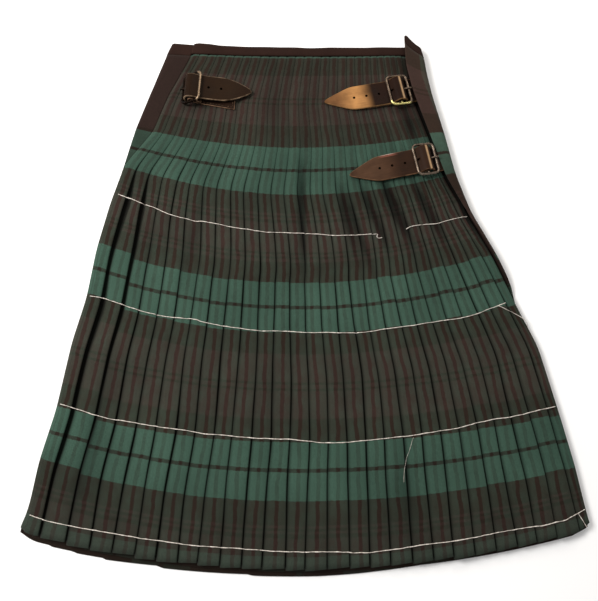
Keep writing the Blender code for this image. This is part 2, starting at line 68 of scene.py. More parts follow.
# How far in each side of the kilt starts to turn, and the heights of the layers' middles
SIDE_TURN = 0.0040
OVER_APRON_Z = 0.00075
UNDER_APRON_Z = 0.00255
PLEAT_TOP_Z = 0.0102
PLEAT_LOW_Z = PLEAT_TOP_Z - 4 * FOLD_RADIUS
PLAIN_Z = PLEAT_TOP_Z - 2 * FOLD_RADIUS

# The angle from which the left seam lies on top, the share of its face that a pleat turns back
# under, and how many rows the back has
SEAM_ON_TOP = 88.0
UNDERLAP = 0.62
SHELL_ROWS = 92

# Down the cloth: where the pleats start and end along X and where the right side turns under, where
# the row's middle lies along Y, how much higher its two ends lie, and how uneven its pleats are
Row = namedtuple("Row", "drop left right turn mid rise_left rise_right uneven")
ROWS = [Row(*row) for row in (
    (0.0000, -0.1310, 0.1300, 0.1465, 0.3275, 0.0055, 0.0005, 0.00),
    (0.0140, -0.1345, 0.1320, 0.1505, 0.3136, 0.0034, 0.0010, 0.00),
    (0.0770, -0.1600, 0.1376, 0.1590, 0.2506, 0.0100, 0.0070, 0.10),
    (0.1386, -0.1760, 0.1540, 0.1710, 0.1890, 0.0220, 0.0155, 0.25),
    (0.1987, -0.2085, 0.1692, 0.1820, 0.1288, 0.0370, 0.0230, 0.40),
    (0.2495, -0.2205, 0.1900, 0.1935, 0.0780, 0.0420, 0.0280, 0.50),
    (0.3083, -0.2320, 0.2190, 0.2200, 0.0192, 0.0430, 0.0340, 0.60),
    (0.3627, -0.2385, 0.2410, 0.2410, -0.0352, 0.0400, 0.0330, 0.75),
    (0.4100, -0.2500, 0.2620, 0.2620, -0.0825, 0.0365, 0.0305, 0.80),
    (0.4801, -0.2600, 0.2775, 0.2775, -0.1526, 0.0330, 0.0280, 0.90),
    (0.5394, -0.2725, 0.2880, 0.2880, -0.2120, 0.0390, 0.0340, 1.00),
    (0.6094, -0.2815, 0.2970, 0.2970, -0.2819, 0.0350, 0.0390, 1.00),
)]

# Widths of the pleats at the hem that differ from the rest, as shares of an even pleat
HEM_WIDTHS = {1: 0.80, 2: 1.26, 3: 1.08, 4: 1.10, 5: 1.02, 26: 1.10, 27: 0.62}

# How wide the dark line of each pleat's fold is, in millimetres, over the second check band,
# halfway to the third, over the third, and at the hem. The fold itself stands open less.
Gap = namedtuple("Gap", "pleat band_two between band_three hem")
GAPS = [Gap(*row) for row in (
    (1, 4.2, 5.4, 4.6, 3.2), (2, 4.2, 3.4, 2.6, 2.0), (3, 1.3, 2.0, 2.0, 1.4),
    (4, 0.9, 1.2, 2.2, 1.5), (5, 0.7, 0.7, 1.2, 1.4), (6, 0.8, 1.4, 2.3, 2.3),
    (7, 0.7, 1.1, 1.2, 1.8), (8, 0.9, 2.3, 1.3, 1.4), (9, 1.8, 0.7, 0.9, 1.8),
    (10, 2.0, 1.3, 2.0, 2.0), (11, 1.4, 1.8, 1.6, 2.1), (12, 1.1, 1.9, 1.8, 2.1),
    (13, 1.0, 0.9, 1.0, 1.8), (14, 0.8, 1.3, 1.5, 1.8), (15, 1.3, 1.4, 1.8, 1.8),
    (16, 1.7, 2.3, 2.2, 2.4), (17, 0.8, 1.5, 2.1, 2.1), (18, 0.8, 2.2, 2.0, 2.2),
    (19, 0.9, 1.8, 2.2, 2.1), (20, 1.2, 2.3, 2.1, 2.1), (21, 1.1, 1.4, 1.8, 1.8),
    (22, 1.0, 1.3, 2.0, 1.9), (23, 0.9, 0.9, 1.4, 2.4), (24, 1.9, 2.2, 2.2, 1.8),
    (25, 1.1, 1.8, 1.8, 0.9), (26, 0.9, 2.2, 1.0, 0.9),
)]
GAP_DROPS = (0.150, 0.205, 0.320, 0.420, 0.510, 0.606)
FOLD_TO_DARK_LINE = 0.70

# The two folds at the left that have fallen open: their widths in millimetres down the cloth
FALLEN = [
    (0.170, 0.2, 0.2), (0.192, 0.8, 0.4), (0.216, 3.4, 2.4), (0.245, 7.4, 5.6), (0.275, 5.6, 4.6),
    (0.300, 3.9, 4.1), (0.330, 3.4, 3.3), (0.370, 5.8, 4.2), (0.420, 4.4, 2.8), (0.510, 3.6, 2.0),
    (0.606, 2.0, 1.4),
]

# Soft troughs and ridges across several pleats: the middle, the half length, the half width, the
# height, which is negative for a trough, and the lean from the straight grain in degrees.
Crease = namedtuple("Crease", "x y long wide high lean")
CREASES = [Crease(*row) for row in (
    (0.004, 0.108, 0.060, 0.0050, -0.0022, 2.0),
    (0.018, 0.090, 0.050, 0.0060, 0.0008, 0.0),
    (0.056, 0.098, 0.040, 0.0045, -0.0026, 12.0),
    (0.070, 0.080, 0.045, 0.0040, -0.0020, 16.0),
    (0.088, 0.100, 0.040, 0.0045, -0.0024, 20.0),
    (0.112, 0.110, 0.036, 0.0060, -0.0034, 22.0),
    (0.128, 0.106, 0.038, 0.0050, 0.0012, 22.0),
    (0.150, 0.108, 0.034, 0.0055, -0.0030, 24.0),
    (0.134, 0.220, 0.030, 0.0070, -0.0016, 14.0),
    (-0.150, 0.150, 0.050, 0.0090, 0.0010, -14.0),
    (-0.120, 0.080, 0.060, 0.0080, -0.0008, -10.0),
    (-0.060, 0.140, 0.050, 0.0100, 0.0009, -5.0),
    (-0.030, 0.250, 0.050, 0.0080, -0.0007, -2.0),
    (0.040, 0.190, 0.050, 0.0080, 0.0008, 4.0),
    (-0.090, 0.230, 0.040, 0.0080, 0.0008, -8.0),
    (0.205, -0.120, 0.070, 0.0120, 0.0010, 12.0),
    (-0.215, -0.150, 0.080, 0.0110, -0.0009, -10.0),
    (-0.040, -0.180, 0.070, 0.0130, 0.0007, -3.0),
    (0.110, -0.200, 0.060, 0.0110, -0.0008, 6.0),
    (0.030, -0.060, 0.080, 0.0140, 0.0006, 2.0),
)]

# The weft's place in the check for drops down the cloth, both in metres
CHECK_DROPS = (0.000, 0.016, 0.0415, 0.0764, 0.1092, 0.1386, 0.1690, 0.1987, 0.3352, 0.5100,
               0.5394, 0.5935, 0.6200)
CHECK_PLACES = (0.0125, 0.0292, 0.0532, 0.0875, 0.1218, 0.1458, 0.1750, 0.2042, 0.3412, 0.5162,
                0.5454, 0.5996, 0.6262)


def between(table, place, column):
    """A column of a table, at a place in its first column between the rows."""
    return np.interp(place, [row[0] for row in table], [row[column] for row in table])


def steps_between(table, drops):
    """The table's columns at these drops, on a line through its rows with softened corners."""
    place = np.array([row.drop for row in table])
    fine = np.arange(-0.012, 0.6325, 0.0005)
    columns = {}
    for name in table[0]._fields[1:]:
        value = np.array([getattr(row, name) for row in table], float)
        line = np.interp(fine, place, value)
        for end, next_to, beyond in ((0, 1, fine < place[0]), (-1, -2, fine > place[-1])):
            slope = (value[end] - value[next_to]) / (place[end] - place[next_to])
            line[beyond] = value[end] + slope * (fine[beyond] - place[end])
        soft = np.convolve(np.pad(line, 20, mode="reflect", reflect_type="odd"), np.ones(41) / 41,
                           mode="valid")
        columns[name] = np.interp(drops, fine, soft)
    return columns


def up_the_kilt(row, x):
    """Where a weft row lies along Y at x: lowest in the middle and higher at both sides."""
    left = row["mid"] + row["rise_left"] * (x / row["left"]) ** 2
    right = row["mid"] + row["rise_right"] * (x / row["right"]) ** 2
    return np.where(x < 0, left, right)


def rippled(x, y, across, along, seed):
    """The wandering value at each of these points, this fast across and along the cloth."""
    return np.array([wandering(a * across, b * along, seed) for a, b in zip(x, y)])


def one_row(columns, i):
    """Row i of a set of columns."""
    return {name: values[i] for name, values in columns.items()}


def wandering(x, y, seed):
    """A smooth value between about -1 and 1 that changes from place to place."""
    return noise.noise(Vector((x, y, seed))) * 1.6


def ramp(value, start, far):
    """0 up to the start, then a straight climb to 1 when the value is this far past it."""
    return np.clip((value - start) / far, 0.0, 1.0)


def corner_lift(x, drop):
    """How far the cut corners of the hem lie above the rest of their row."""
    left = 0.0062 * ramp(-x, 0.266, 0.016) ** 2
    right = 0.0045 * ramp(x, 0.280, 0.015) ** 2
    return ramp(drop, 0.560, 0.046) ** 2 * (left + right)


def corner_flare(x, drop):
    """How far the left hem corner is bent outwards."""
    return -0.0034 * ramp(drop, 0.572, 0.030) ** 2 * ramp(-x, 0.255, 0.026) ** 2


def creased(x, y):
    """The height that the listed creases add at a point of the cloth."""
    high = np.zeros_like(x)
    for crease in CREASES:
        lean = math.radians(crease.lean)
        dx, dy = x - crease.x, y - crease.y
        along = dx * math.sin(lean) - dy * math.cos(lean)
        across = dx * math.cos(lean) + dy * math.sin(lean)
        high += crease.high * np.exp(-((along / crease.long) ** 2) - (across / crease.wide) ** 2)
    return high


# How much wider than even the pleats at the left lie, down the cloth, and how late those at the
# right make up for it: a high power keeps the narrow ones close to the flap
BUNCHING = [(0.000, 0.100, 5.0), (0.190, 0.120, 5.0), (0.270, 0.150, 2.0), (0.305, 0.165, 1.0),
            (0.357, 0.098, 1.0), (0.400, 0.072, 1.0), (0.520, 0.032, 1.0), (0.606, 0.020, 1.0)]


def pleat_edges(row, drop):
    """Where the pleats' folds lie along X on this row, with both ends."""
    shares = np.array([1.0 + row["uneven"] * (HEM_WIDTHS.get(n, 1.0) - 1.0)
                       for n in range(1, PLEATS + 1)])
    shares = np.concatenate([[0.0], np.cumsum(shares) / shares.sum()])
    wider, power = between(BUNCHING, drop, 1), between(BUNCHING, drop, 2)
    shares = shares + wider * shares * (1.0 - shares**power)
    return row["left"] + shares * (row["right"] - row["left"])


def fold_opening(n, drop):
    """How wide fold n stands open at this drop, in metres."""
    gap = GAPS[n - 1]
    lines = [FOLD_TO_DARK_LINE * wide for wide in (gap.band_two, gap.between, gap.band_three)]
    wide = np.interp(drop, GAP_DROPS, [0.45, 0.65, *lines, 0.68 * gap.hem])
    if n <= 2:
        wide = between(FALLEN, drop, n)
    return max(wide + 0.35 * wandering(n * 3.1, drop * 22.0, 5.0), 0.2) * 0.001


def arc(x, z, wide, tall, angles):
    """Points (x, z) round a centre, at these angles in degrees."""
    return [(x + wide * math.cos(a), z + tall * math.sin(a)) for a in np.radians(angles)]


def up_to_the_pleats(row, side, seam):
    """The cloth from the left seam to the first pleat: points (x, z), painted shade and warp
    thread.
    """
    if seam > SEAM_ON_TOP:
        return [(row["left"] + 0.0002 + 0.0008 * step, PLEAT_LOW_Z + 0.0005 * step, 0.15,
                 -0.0050 + 0.001 * step) for step in range(SIDE_POINTS)]
    angles = [seam + 3.0 + (87.0 - seam) * step / 3 for step in range(SIDE_POINTS)]
    turned = arc(side + SIDE_TURN, (OVER_APRON_Z + PLEAT_LOW_Z) / 2, -SIDE_TURN,
                 (PLEAT_LOW_Z - OVER_APRON_Z) / 2, angles)
    return [(x, z, 0.0, -0.0090 + 0.001 * step) for step, (x, z) in enumerate(turned)]


def one_pleat(n, drop, place, valley, fell):
    """Pleat n: its face, its fold, its hidden layers, and the valley where the next one starts.

    fell is 1 where the pleats are stitched down, and 0 where they hang loose.
    """
    loose = 1.0 - fell
    fold = FOLD_RADIUS * (1.0 - 0.38 * fell)
    layer = 2 * fold
    # Painted shade under the fold and on the hidden layers, lighter where the pleats are stitched
    # down
    inside = 1.0 - 0.45 * fell
    sway = (0.0003 + 0.0009 * loose) * wandering(n * 7.3, drop * 9.0, 1.0)
    lift = (0.0002 + 0.0007 * loose) * wandering(n * 5.1, drop * 7.0, 2.0)
    edge = place + sway
    top = PLEAT_TOP_Z + lift - 0.0003 * fell
    wide = edge - valley[0]
    centre = valley[0] + wide * 0.50 + 0.0010 * wandering(n * 2.7, drop * 4.0, 9.0)
    shoulder = min((0.0034 * fell + 0.0022 * loose) / wide, 0.45)
    tilt = 0.16 * loose + 0.06 * fell
    rise = top - valley[1]
    back = UNDERLAP * wide
    # Each point carries its painted shade: a painted shadow of the fold before across the left of
    # the face, the darkest shade under the fold and on the hidden layers, and on the face and the
    # fold's top a darkening that differs at random from pleat to pleat.
    tone = (0.10 + 0.46 * fell) * (0.5 + 0.8 * wandering(n * 9.7, drop * 5.0, 8.0))
    tone = min(max(tone, 0.0), 0.3 + 0.4 * fell)
    points = []
    for share in (0.03, 0.10, 0.22, 0.40, 0.60, 0.80):
        climb = min(share / shoulder, 1.0)
        level = (1.0 - tilt) * math.sin(climb * math.pi / 2) ** 0.8 + tilt * share
        crown = 0.00025 * math.sin(math.pi * share)
        x = valley[0] + share * (wide - fold)
        shade = max(0.0, 1.0 - share / (0.42 * fell + 0.22 * loose)) ** 1.3
        shade = max(shade * (1.0 - 0.35 * fell), tone)
        points.append((x, valley[1] + rise * level + crown, shade, x - centre))
    for angle, (x, z) in zip(FOLD_ANGLES, arc(edge - fold, top - fold, fold, fold, FOLD_ANGLES)):
        shade = max(0.25 * fell, tone) if angle > 0 else 0.75 * inside
        points.append((x, z, shade, edge - centre + (90.0 - angle) * 0.000016))
    under = top - layer - tilt * rise * UNDERLAP
    hidden = edge - centre + back
    opening = fold_opening(n, drop)
    sunk = min(max(opening - 0.0010, 0.0) * 1.2, 0.0024)
    floor = (PLEAT_LOW_Z - sunk) * loose + (top - layer + 0.0001) * fell
    half_way = (under - layer + min(floor, under - layer)) / 2
    points += [(edge - 0.5 * back, (under + top - layer) / 2, inside, edge - centre + 0.5 * back),
               (edge - back, under, inside, hidden),
               (edge - back - fold, under - layer / 2, inside, hidden + 0.001),
               (edge - back, under - layer, inside, hidden + 0.002),
               (edge - 0.4 * back, half_way, inside, -0.014),
               (edge + opening * 0.5, floor, inside, -0.0112)]
    return points, (edge + opening, floor + 0.0001)


def past_the_pleats(row, drop, valley):
    """The plain cloth from the last valley, with a groove beside the flap, round the right side."""
    middle = (PLAIN_Z + UNDER_APRON_Z) / 2
    tall = PLAIN_Z - middle
    bend = row["turn"] - SIDE_TURN
    flat_end = min(row["right"], bend - 0.0015)
    points = []
    # The third value of each point is its painted shade: in the valley after the last pleat, in the
    # groove beside the flap and round the turn.
    for share in (0.12, 0.35, 0.6, 0.85, 1.0):
        x = valley[0] + share * (flat_end - valley[0])
        rise = math.sin(share * math.pi / 2) ** 0.5
        z = valley[1] + (middle + tall - valley[1]) * rise
        points.append((x, z, 0.9 * (1 - share) ** 2, x - flat_end))
    groove = np.interp(drop, (0.0, 0.03, 0.26, 0.31), (0.0, 1.0, 1.0, 0.0))
    sunk = 0.0022 * groove * min((bend - flat_end) / 0.006, 1.0)
    points.append((flat_end + 0.0006, middle + tall - 0.7 * sunk, 0.8 * groove, 0.001))
    points.append((flat_end + 0.0014, middle + tall - sunk, groove, 0.002))
    angles = (90.0, 60.0, 30.0, 0.0, -40.0)
    points += [(x, z, groove * 0.9 + 0.1, 0.003 + (90.0 - angle) * 0.00007)
               for angle, (x, z) in zip(angles, arc(bend, middle, SIDE_TURN, tall, angles))]
    return points


def pleats_across(row, drop, side, seam):
    """One row of the back: points (x, z), their painted shade in the folds and towards the hem, and
    their warp thread.
    """
    fell = 1.0 - np.interp(drop, (0.150, 0.230), (0.0, 1.0))
    line = up_to_the_pleats(row, side, seam)
    valley = line[-1][:2]
    for n, place in enumerate(pleat_edges(row, drop)[1:PLEATS], 1):
        points, valley = one_pleat(n, drop, place, valley, fell)
        line += points
    line = np.array(line + past_the_pleats(row, drop, valley))
    # Painted shade that grows towards the hem, and is less where the pleats are stitched down
    hem_shade = np.interp(drop, (0.500, 0.590), (0.0, 0.24))
    return line[:, :2], np.maximum(line[:, 2] * (1.0 - 0.62 * fell), hem_shade), line[:, 3]


def check_place(drop):
    """The weft thread at this drop, as a place in the check."""
    return np.interp(drop, CHECK_DROPS, CHECK_PLACES)


def marked_mesh(name, points, faces, uv, deep, place):
    """A closed mesh, moved to its place, with each point's threads and its deep mark: painted light
    and shade on the cloth, worn edges on the leather.
    """
    mesh = bpy.data.meshes.new(name)
    mesh.from_pydata([tuple(point) for point in points], [], faces)
    corners = np.empty(len(mesh.loops), int)
    mesh.loops.foreach_get("vertex_index", corners)
    mesh.uv_layers.new(name="cloth").uv.foreach_set("vector", uv[corners].astype("f").ravel())
    mesh.attributes.new("deep", "FLOAT", "POINT").data.foreach_set("value", deep.astype("f"))
    form = bmesh.new()
    form.from_mesh(mesh)
    bmesh.ops.recalc_face_normals(form, faces=form.faces)
    if form.calc_volume(signed=True) < 0:
        bmesh.ops.reverse_faces(form, faces=form.faces)
    form.to_mesh(mesh)
    form.free()
    mesh.transform(place)
    return mesh


def shell(name, middle, thick, marks):
    """A closed thin cloth through a grid of points (rows, across, 3), with (u, v, deep) grids, deep
    being its painted light and shade.
    """
    rows, across = middle.shape[:2]
    normal = np.cross(np.gradient(middle, axis=1), np.gradient(middle, axis=0))
    normal /= np.linalg.norm(normal, axis=2, keepdims=True) + 1e-12
    points = np.concatenate([(middle + normal * thick / 2).reshape(-1, 3),
                             (middle - normal * thick / 2).reshape(-1, 3)])
    layer = rows * across
    i, j = np.meshgrid(np.arange(rows - 1), np.arange(across - 1), indexing="ij")
    a = (i * across + j).ravel()
    top = np.stack([a, a + 1, a + across + 1, a + across], axis=1)
    number = np.arange(layer).reshape(rows, across)
    ring = np.concatenate([number[0], number[1:, -1], number[-1, -2::-1], number[-2:0:-1, 0]])
    after = np.roll(ring, -1)
    rim = np.stack([after, ring, ring + layer, after + layer], axis=1)
    faces = np.concatenate([top, top[:, ::-1] + layer, rim]).tolist()
    u, v, deep = (np.tile(np.asarray(mark, float).ravel(), 2) for mark in marks)
    mesh = marked_mesh(name, points, faces, np.stack([u, v], axis=1), deep, to_kilt)
    mesh.shade_smooth()
    return mesh


def node(tree, kind, inputs=(), **settings):
    """A node with its settings, and its inputs joined to other nodes or set."""
    made = tree.nodes.new(kind)
    for name, value in settings.items():
        setattr(made, name, value)
    for key, value in dict(inputs).items():
        if isinstance(value, bpy.types.NodeSocket):
            tree.links.new(value, made.inputs[key])
        else:
            made.inputs[key].default_value = value
    return made


def maths(tree, operation, *values):
    """The result of one sum."""
    return node(tree, "ShaderNodeMath", enumerate(values), operation=operation).outputs[0]


def times(tree, first, second):
    """The product of two values."""
    return maths(tree, "MULTIPLY", first, second)


def spread(tree, value, low, high, to_low=0.0, to_high=1.0):
    """A value from low to high, moved to another range."""
    made = node(tree, "ShaderNodeMapRange", enumerate((value, low, high, to_low, to_high)))
    return made.outputs[0]


def linear(red, green, blue):
    """A colour seen as these 0 to 255 values, as a shader takes it."""
    seen = np.array([red, green, blue]) / 255.0
    return tuple(np.where(seen <= 0.04045, seen / 12.92, ((seen + 0.055) / 1.055) ** 2.4)) + (1.0,)


def blended(tree, share, first, second, blend_type="MIX"):
    """Two colours mixed."""
    made = node(tree, "ShaderNodeMix", {"Factor": share, 6: first, 7: second}, data_type="RGBA",
                blend_type=blend_type)
    return made.outputs[2]


def speckle(tree, place, scale, detail, low, high):
    """A noise between low and high."""
    cloud = node(tree, "ShaderNodeTexNoise", {"Vector": place, "Scale": scale, "Detail": detail})
    return spread(tree, cloud.outputs["Fac"], 0.3, 0.7, low, high)


def surface(name, settings):
    """A new material, its node tree and its shader, with the shader's inputs set."""
    made = bpy.data.materials.new(name)
    made.use_nodes = True
    shader = made.node_tree.nodes["Principled BSDF"]
    for label, value in settings.items():
        shader.inputs[label].default_value = value
    return made, made.node_tree, shader


def finish(tree, shader, colour, height, strength, distance):
    """Gives a shader its colour and its relief."""
    bump = node(tree, "ShaderNodeBump", {"Height": height, "Strength": strength,
                "Distance": distance})
    tree.links.new(bump.outputs["Normal"], shader.inputs["Normal"])
    tree.links.new(colour, shader.inputs["Base Color"])


def object_place(tree):
    """Where a point of the piece lies, in metres."""
    return node(tree, "ShaderNodeTexCoord").outputs["Object"]


# The check, from the middle of one green stripe: how wide each stripe is, and its yarn
GREEN, DARK, BROWN, LINE = (53, 75, 64), (40, 30, 24), (50, 36, 32), (34, 28, 23)
CHECK = [
    (0.0018, LINE), (0.0274, GREEN), (0.0240, DARK), (0.0295, BROWN), (0.0030, DARK),
    (0.0036, BROWN), (0.0030, DARK), (0.0295, BROWN), (0.0240, DARK), (0.0274, GREEN),
    (0.0036, LINE), (0.0274, GREEN), (0.0240, DARK), (0.0030, BROWN), (0.0030, DARK),
    (0.0030, BROWN), (0.0030, DARK), (0.0358, BROWN), (0.0030, DARK), (0.0030, BROWN),
    (0.0030, DARK), (0.0030, BROWN), (0.0240, DARK), (0.0274, GREEN), (0.0018, LINE),
]
CHECK_LENGTH = sum(wide for wide, _ in CHECK)
TWILL = 0.0020
SELVEDGE_FROM = 0.5996


def checked(tree, place):
    """The yarn's colour at a place in the check."""
    turn = maths(tree, "FRACT", maths(tree, "DIVIDE", place, CHECK_LENGTH))
    ramp = node(tree, "ShaderNodeValToRGB", {"Fac": turn})
    ramp.color_ramp.interpolation = "CONSTANT"
    start = 0.0
    for n, (wide, colour) in enumerate(CHECK):
        stop = ramp.color_ramp.elements[n] if n < 2 else ramp.color_ramp.elements.new(0.999)
        stop.position = start / CHECK_LENGTH
        stop.color = linear(*colour)
        start += wide
    return ramp.outputs["Color"]


def wool(name, roughness=0.85):
    """A wool surface: its material, its node tree and its shader."""
    return surface(name, {"Roughness": roughness, "Sheen Weight": 0.05, "Sheen Roughness": 0.5,
                   "Sheen Tint": (0.75, 0.72, 0.62, 1.0), "Specular IOR Level": 0.06})


def tartan(name):
    """The green, brown and near-black worsted twill."""
    made, tree, shader = wool(name)
    cloth = node(tree, "ShaderNodeUVMap", uv_map="cloth").outputs["UV"]
    across = node(tree, "ShaderNodeSeparateXYZ", {0: cloth})
    u, v = across.outputs["X"], across.outputs["Y"]
    place = object_place(tree)
    slub = speckle(tree, place, 420.0, 2.0, -0.00035, 0.00035)
    drift = speckle(tree, place, 38.0, 2.0, -0.0010, 0.0010)
    warp = checked(tree, maths(tree, "ADD", maths(tree, "ADD", u, drift), slub))
    weft = checked(tree, maths(tree, "ADD", v, slub))
    selvedge = maths(tree, "GREATER_THAN", v, SELVEDGE_FROM)
    weft = blended(tree, times(tree, selvedge, 0.70), weft, linear(58, 64, 56))
    line = maths(tree, "PINGPONG", maths(tree, "ADD", u, v), TWILL / 2)
    line = maths(tree, "DIVIDE", line, TWILL / 2)
    share = spread(tree, line, 0.25, 0.75, 0.17, 0.40)
    share = times(tree, share, speckle(tree, place, 75.0, 3.0, 0.72, 1.28))
    share = times(tree, share, spread(tree, v, 0.110, 0.170, 0.68, 1.0))
    colour = blended(tree, share, weft, warp)
    worn = speckle(tree, place, 16.0, 3.0, 0.86, 1.12)
    fibre = speckle(tree, place, 900.0, 2.0, 0.84, 1.18)
    # The deep mark is painted shade, which darkens the cloth in the folds, gaps and troughs, beside
    # the flap and towards the hem; below zero it is painted light.
    depth = node(tree, "ShaderNodeAttribute", attribute_name="deep").outputs["Fac"]
    shade = maths(tree, "SUBTRACT", 1.0, times(tree, depth, 0.90))
    value = times(tree, times(tree, worn, fibre), shade)
    height = maths(tree, "ADD", times(tree, line, 0.5), fibre)
    finish(tree, shader, blended(tree, 1.0, colour, value, "MULTIPLY"), height, 0.35, 0.00025)
    return made


def in_scene(name, data):
    """A new object of the scene."""
    thing = bpy.data.objects.new(name, data)
    bpy.context.scene.collection.objects.link(thing)
    return thing


def piece(mesh, *finishes):
    """A piece of the kilt, made of this mesh."""
    for coat in finishes:
        mesh.materials.append(coat)
    thing = in_scene(mesh.name, mesh)
    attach(thing, "root")
    return thing


to_kilt = Matrix.Translation(-MIDDLE_OF_KILT)
tartan_wool = tartan("tartan_twill")


def gathered(rows):
    """An array of each part of these rows."""
    return [np.array(part) for part in zip(*rows)]


drops = np.linspace(BAND_DROP + UNDER_BAND, PLEAT_HEM_DROP, SHELL_ROWS)
row_columns = steps_between(ROWS, drops)

# The over-apron's rounded left side, which the seam with the first pleat reaches below the hip
LEFT_SIDE = [(0.0000, -0.1605), (0.0140, -0.1655), (0.0770, -0.1830), (0.1386, -0.1972),
             (0.1987, -0.2085), (0.2495, -0.2205)]


def left_side(at_drops, rows):
    """Where the left silhouette lies along X."""
    return np.where(at_drops > 0.2100, rows["left"], between(LEFT_SIDE, at_drops, 1))


def seam_angle(row, side, drop):
    """How far round the left side the seam lies, in degrees: 90 on top, 0 at the outermost line."""
    turned = (side + SIDE_TURN - row["left"]) / SIDE_TURN
    if turned <= 0.0:
        return 90.0
    under = np.interp(drop, (0.1987, 0.2495), (0.0, 20.0))
    return math.degrees(math.acos(min(turned, 1.0))) - under


sides = left_side(drops, row_columns)

# Small steps in the weft from pleat to pleat, in millimetres at the second and third bands
STEPS_IN_WEFT = {1: (6.5, 5.0), 2: (6.0, 5.0), 3: (0.5, 0.5), 5: (1.2, 0.6), 8: (-0.8, -0.5),
                 12: (0.8, 0.4), 15: (-0.7, 0.5), 19: (0.9, -0.6), 23: (1.2, 0.9), 26: (1.6, 1.8)}

chance = np.random.default_rng(11)
hem_uneven = chance.uniform(-0.0010, 0.0010, PLEATS + 1)

back_rows = []
for i, drop in enumerate(drops):
    row = one_row(row_columns, i)
    line, deep, warp = pleats_across(row, drop, sides[i], seam_angle(row, sides[i], drop))
    x, z = line[:, 0], line[:, 1]
    y = up_the_kilt(row, x)
    number = np.clip((np.arange(len(x)) - SIDE_POINTS) // POINTS_A_PLEAT + 1, 1, PLEATS)
    edges = pleat_edges(row, drop)
    on_face = 1.0 - 0.75 * deep
    crease = creased(x, y)
    z = z + crease * on_face
    # Painted shade in the creases' troughs
    deep = np.clip(deep + np.clip(-crease / 0.0024, 0.0, 0.7), 0.0, 1.0)
    # Painted shadow from the flap on the pleats beside it, wider near the waist
    reach = np.interp(drop, (0.0, 0.045, 0.090), (0.0085, 0.0060, 0.0030))
    painted_flap_shadow = np.clip((0.2600 - drop) / 0.05, 0.0, 1.0) * np.exp((x - row["right"]) / reach)
    deep = np.clip(deep + 0.6 * painted_flap_shadow, 0.0, 1.0)
    near_hem = ramp(drop, 0.560, 0.045) ** 3
    across = ramp(x, edges[number - 1], edges[number] - edges[number - 1])
    y = y + corner_lift(x, drop) + near_hem * (hem_uneven[number] + 0.0016 * (across - 0.5))
    z += 0.0005 * on_face * rippled(x, y, 14.0, 9.0, 3.0)
    pucker = np.interp(drop, (0.14, 0.2), (1.0, 0.0)) * 0.00022
    z += pucker * on_face * rippled(x, y, 60.0, 190.0, 4.0)
    weft = np.full(len(x), check_place(drop))
    for n, (second, third) in STEPS_IN_WEFT.items():
        step = np.interp(drop, (0.20, 0.30, 0.37, 0.48, 0.56), (0, second, second, third, third))
        weft[number == n] += step * 0.001
    back_rows.append((np.stack([x + corner_flare(x, drop), y, z], axis=1), warp, weft, deep))
back_points, us, vs, painted_shading = gathered(back_rows)
back_mesh = shell("pleats_of_the_back", back_points, CLOTH_THICK, (us, vs, painted_shading))
pleats_of_the_back = piece(back_mesh, tartan_wool)
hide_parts("pleated_back")


# The aprons, the two flat front panels under the back. The over-apron lies lowest, turns up at
# the left to its seam with the first pleat, and its free edge folds back over the right side.
APRON_THICK = 0.0011
FLAP_Z = 0.0132
FLAP_TURN = 0.0060

# The over-apron's right side down the cloth: how far right it reaches, the angle where it ends and
# where its free edge lies, then how much that edge climbs towards the waist and curls up
Wrap = namedtuple("Wrap", "drop right edge_angle free climb curl")
WRAPS = [Wrap(*row) for row in (
    (0.0000, 0.1525, 90.0, 0.1306, 0.75, 0.0070),
    (0.0140, 0.1555, 90.0, 0.1306, 0.60, 0.0060),
    (0.0420, 0.1580, 90.0, 0.1312, 0.40, 0.0050),
    (0.0770, 0.1630, 90.0, 0.1382, 0.25, 0.0040),
    (0.1386, 0.1745, 90.0, 0.1560, 0.15, 0.0000),
    (0.1987, 0.1845, 90.0, 0.1715, 0.00, 0.0000),
    (0.2495, 0.1990, 90.0, 0.1930, 0.00, 0.0000),
    (0.3083, 0.2250, 60.0, 0.2190, 0.00, 0.0000),
    (0.3355, 0.2355, 10.0, 0.2295, 0.00, 0.0000),
    (0.3627, 0.2445, -50.0, 0.2380, 0.00, 0.0000),
    (0.4100, 0.2605, -85.0, 0.2540, 0.00, 0.0000),
    (0.4801, 0.2755, -90.0, 0.2695, 0.00, 0.0000),
    (0.5394, 0.2860, -90.0, 0.2800, 0.00, 0.0000),
    (0.6130, 0.2950, -90.0, 0.2890, 0.00, 0.0000),
)]

# The warp thread at the free edge and at the left seam, which set where the dark stripes lie, the
# weft thread inside the hem, and one in the middle of a brown stripe
WARP_AT_FREE_EDGE = 0.0482
WARP_AT_SEAM = 0.0335
HEM_INSIDE = 0.0420
IN_BROWN = 0.0700


def distances(points):
    """How far along a line of points each one is."""
    steps = np.linalg.norm(np.diff(points, axis=0), axis=1)
    return np.concatenate([[0.0], np.cumsum(steps)])


def evenly(points, count):
    """The same line through this many points, evenly spaced."""
    far = distances(points)
    want = np.linspace(0.0, far[-1], count)
    return np.stack([np.interp(want, far, points[:, k]) for k in range(points.shape[1])], axis=1)


